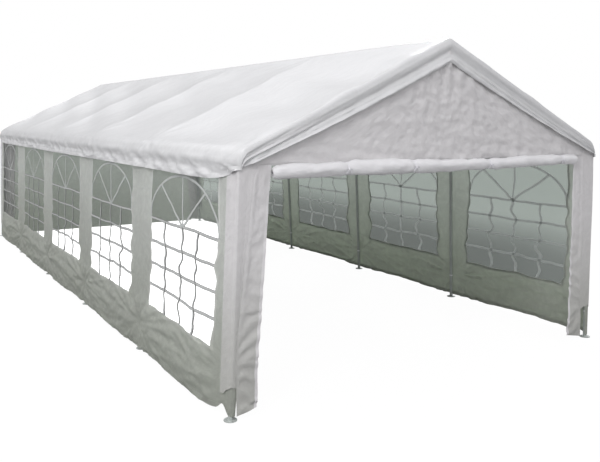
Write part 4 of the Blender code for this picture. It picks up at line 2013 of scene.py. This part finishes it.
class MARQUEE_OT_stage(Operator):
    """Set the pale floor, the soft light and the camera"""

    bl_idname = "marquee.stage"
    bl_label = "Stage"

    def execute(self, context):
        surroundings = context.scene.marquee_colours.surroundings
        make_camera()
        make_world(linear("FDFDFF"), surroundings)
        make_floor(surroundings)
        white = (1.0, 1.0, 1.0)
        add_soft_light("left_back_bank", (-5.5, 7.5, 14.0), (-1.5, 1.0, 1.5), (2.5, 2.5), 720.0, white)
        add_soft_light("left_front_bank", (-7.0, -9.0, 8.0), (-1.5, -4.5, 1.5), (2.5, 2.5), 300.0, white)
        add_soft_light("right_back_bank", (7.5, 4.0, 8.0), (2.0, 1.0, 0.8), (1.5, 1.5), 420.0, white)
        context.scene.view_settings.view_transform = "Standard"
        return {"FINISHED"}


class MARQUEE_PT_panel(Panel):
    """Lists the marquee's pieces in the 3D view's sidebar"""

    bl_idname = "MARQUEE_PT_panel"
    bl_label = "Party Marquee"
    bl_space_type = "VIEW_3D"
    bl_region_type = "UI"
    bl_category = "Marquee"

    def draw(self, context):
        for group in (context.scene.marquee_sizes, context.scene.marquee_colours):
            box = self.layout.box()
            for name in group.__annotations__:
                box.prop(group, name)
        for operator in OPERATORS:
            self.layout.operator(operator.bl_idname)


OPERATORS = (
    MARQUEE_OT_materials,
    MARQUEE_OT_steel_frame,
    MARQUEE_OT_roof_cover,
    MARQUEE_OT_side_walls,
    MARQUEE_OT_windows,
    MARQUEE_OT_gables,
    MARQUEE_OT_doors,
    MARQUEE_OT_stage,
)
CLASSES = (MarqueeSizes, MarqueeColours, *OPERATORS, MARQUEE_PT_panel)


def register():
    for each in CLASSES:
        bpy.utils.register_class(each)
    bpy.types.Scene.marquee_sizes = PointerProperty(type=MarqueeSizes)
    bpy.types.Scene.marquee_colours = PointerProperty(type=MarqueeColours)


def unregister():
    del bpy.types.Scene.marquee_colours
    del bpy.types.Scene.marquee_sizes
    for each in reversed(CLASSES):
        bpy.utils.unregister_class(each)


def main():
    register()
    bpy.ops.marquee.materials()
    bpy.ops.marquee.steel_frame()
    bpy.ops.marquee.roof_cover()
    bpy.ops.marquee.side_walls()
    bpy.ops.marquee.windows()
    bpy.ops.marquee.gables()
    bpy.ops.marquee.doors()
    bpy.ops.marquee.stage()


if __name__ == "__main__":
    main()
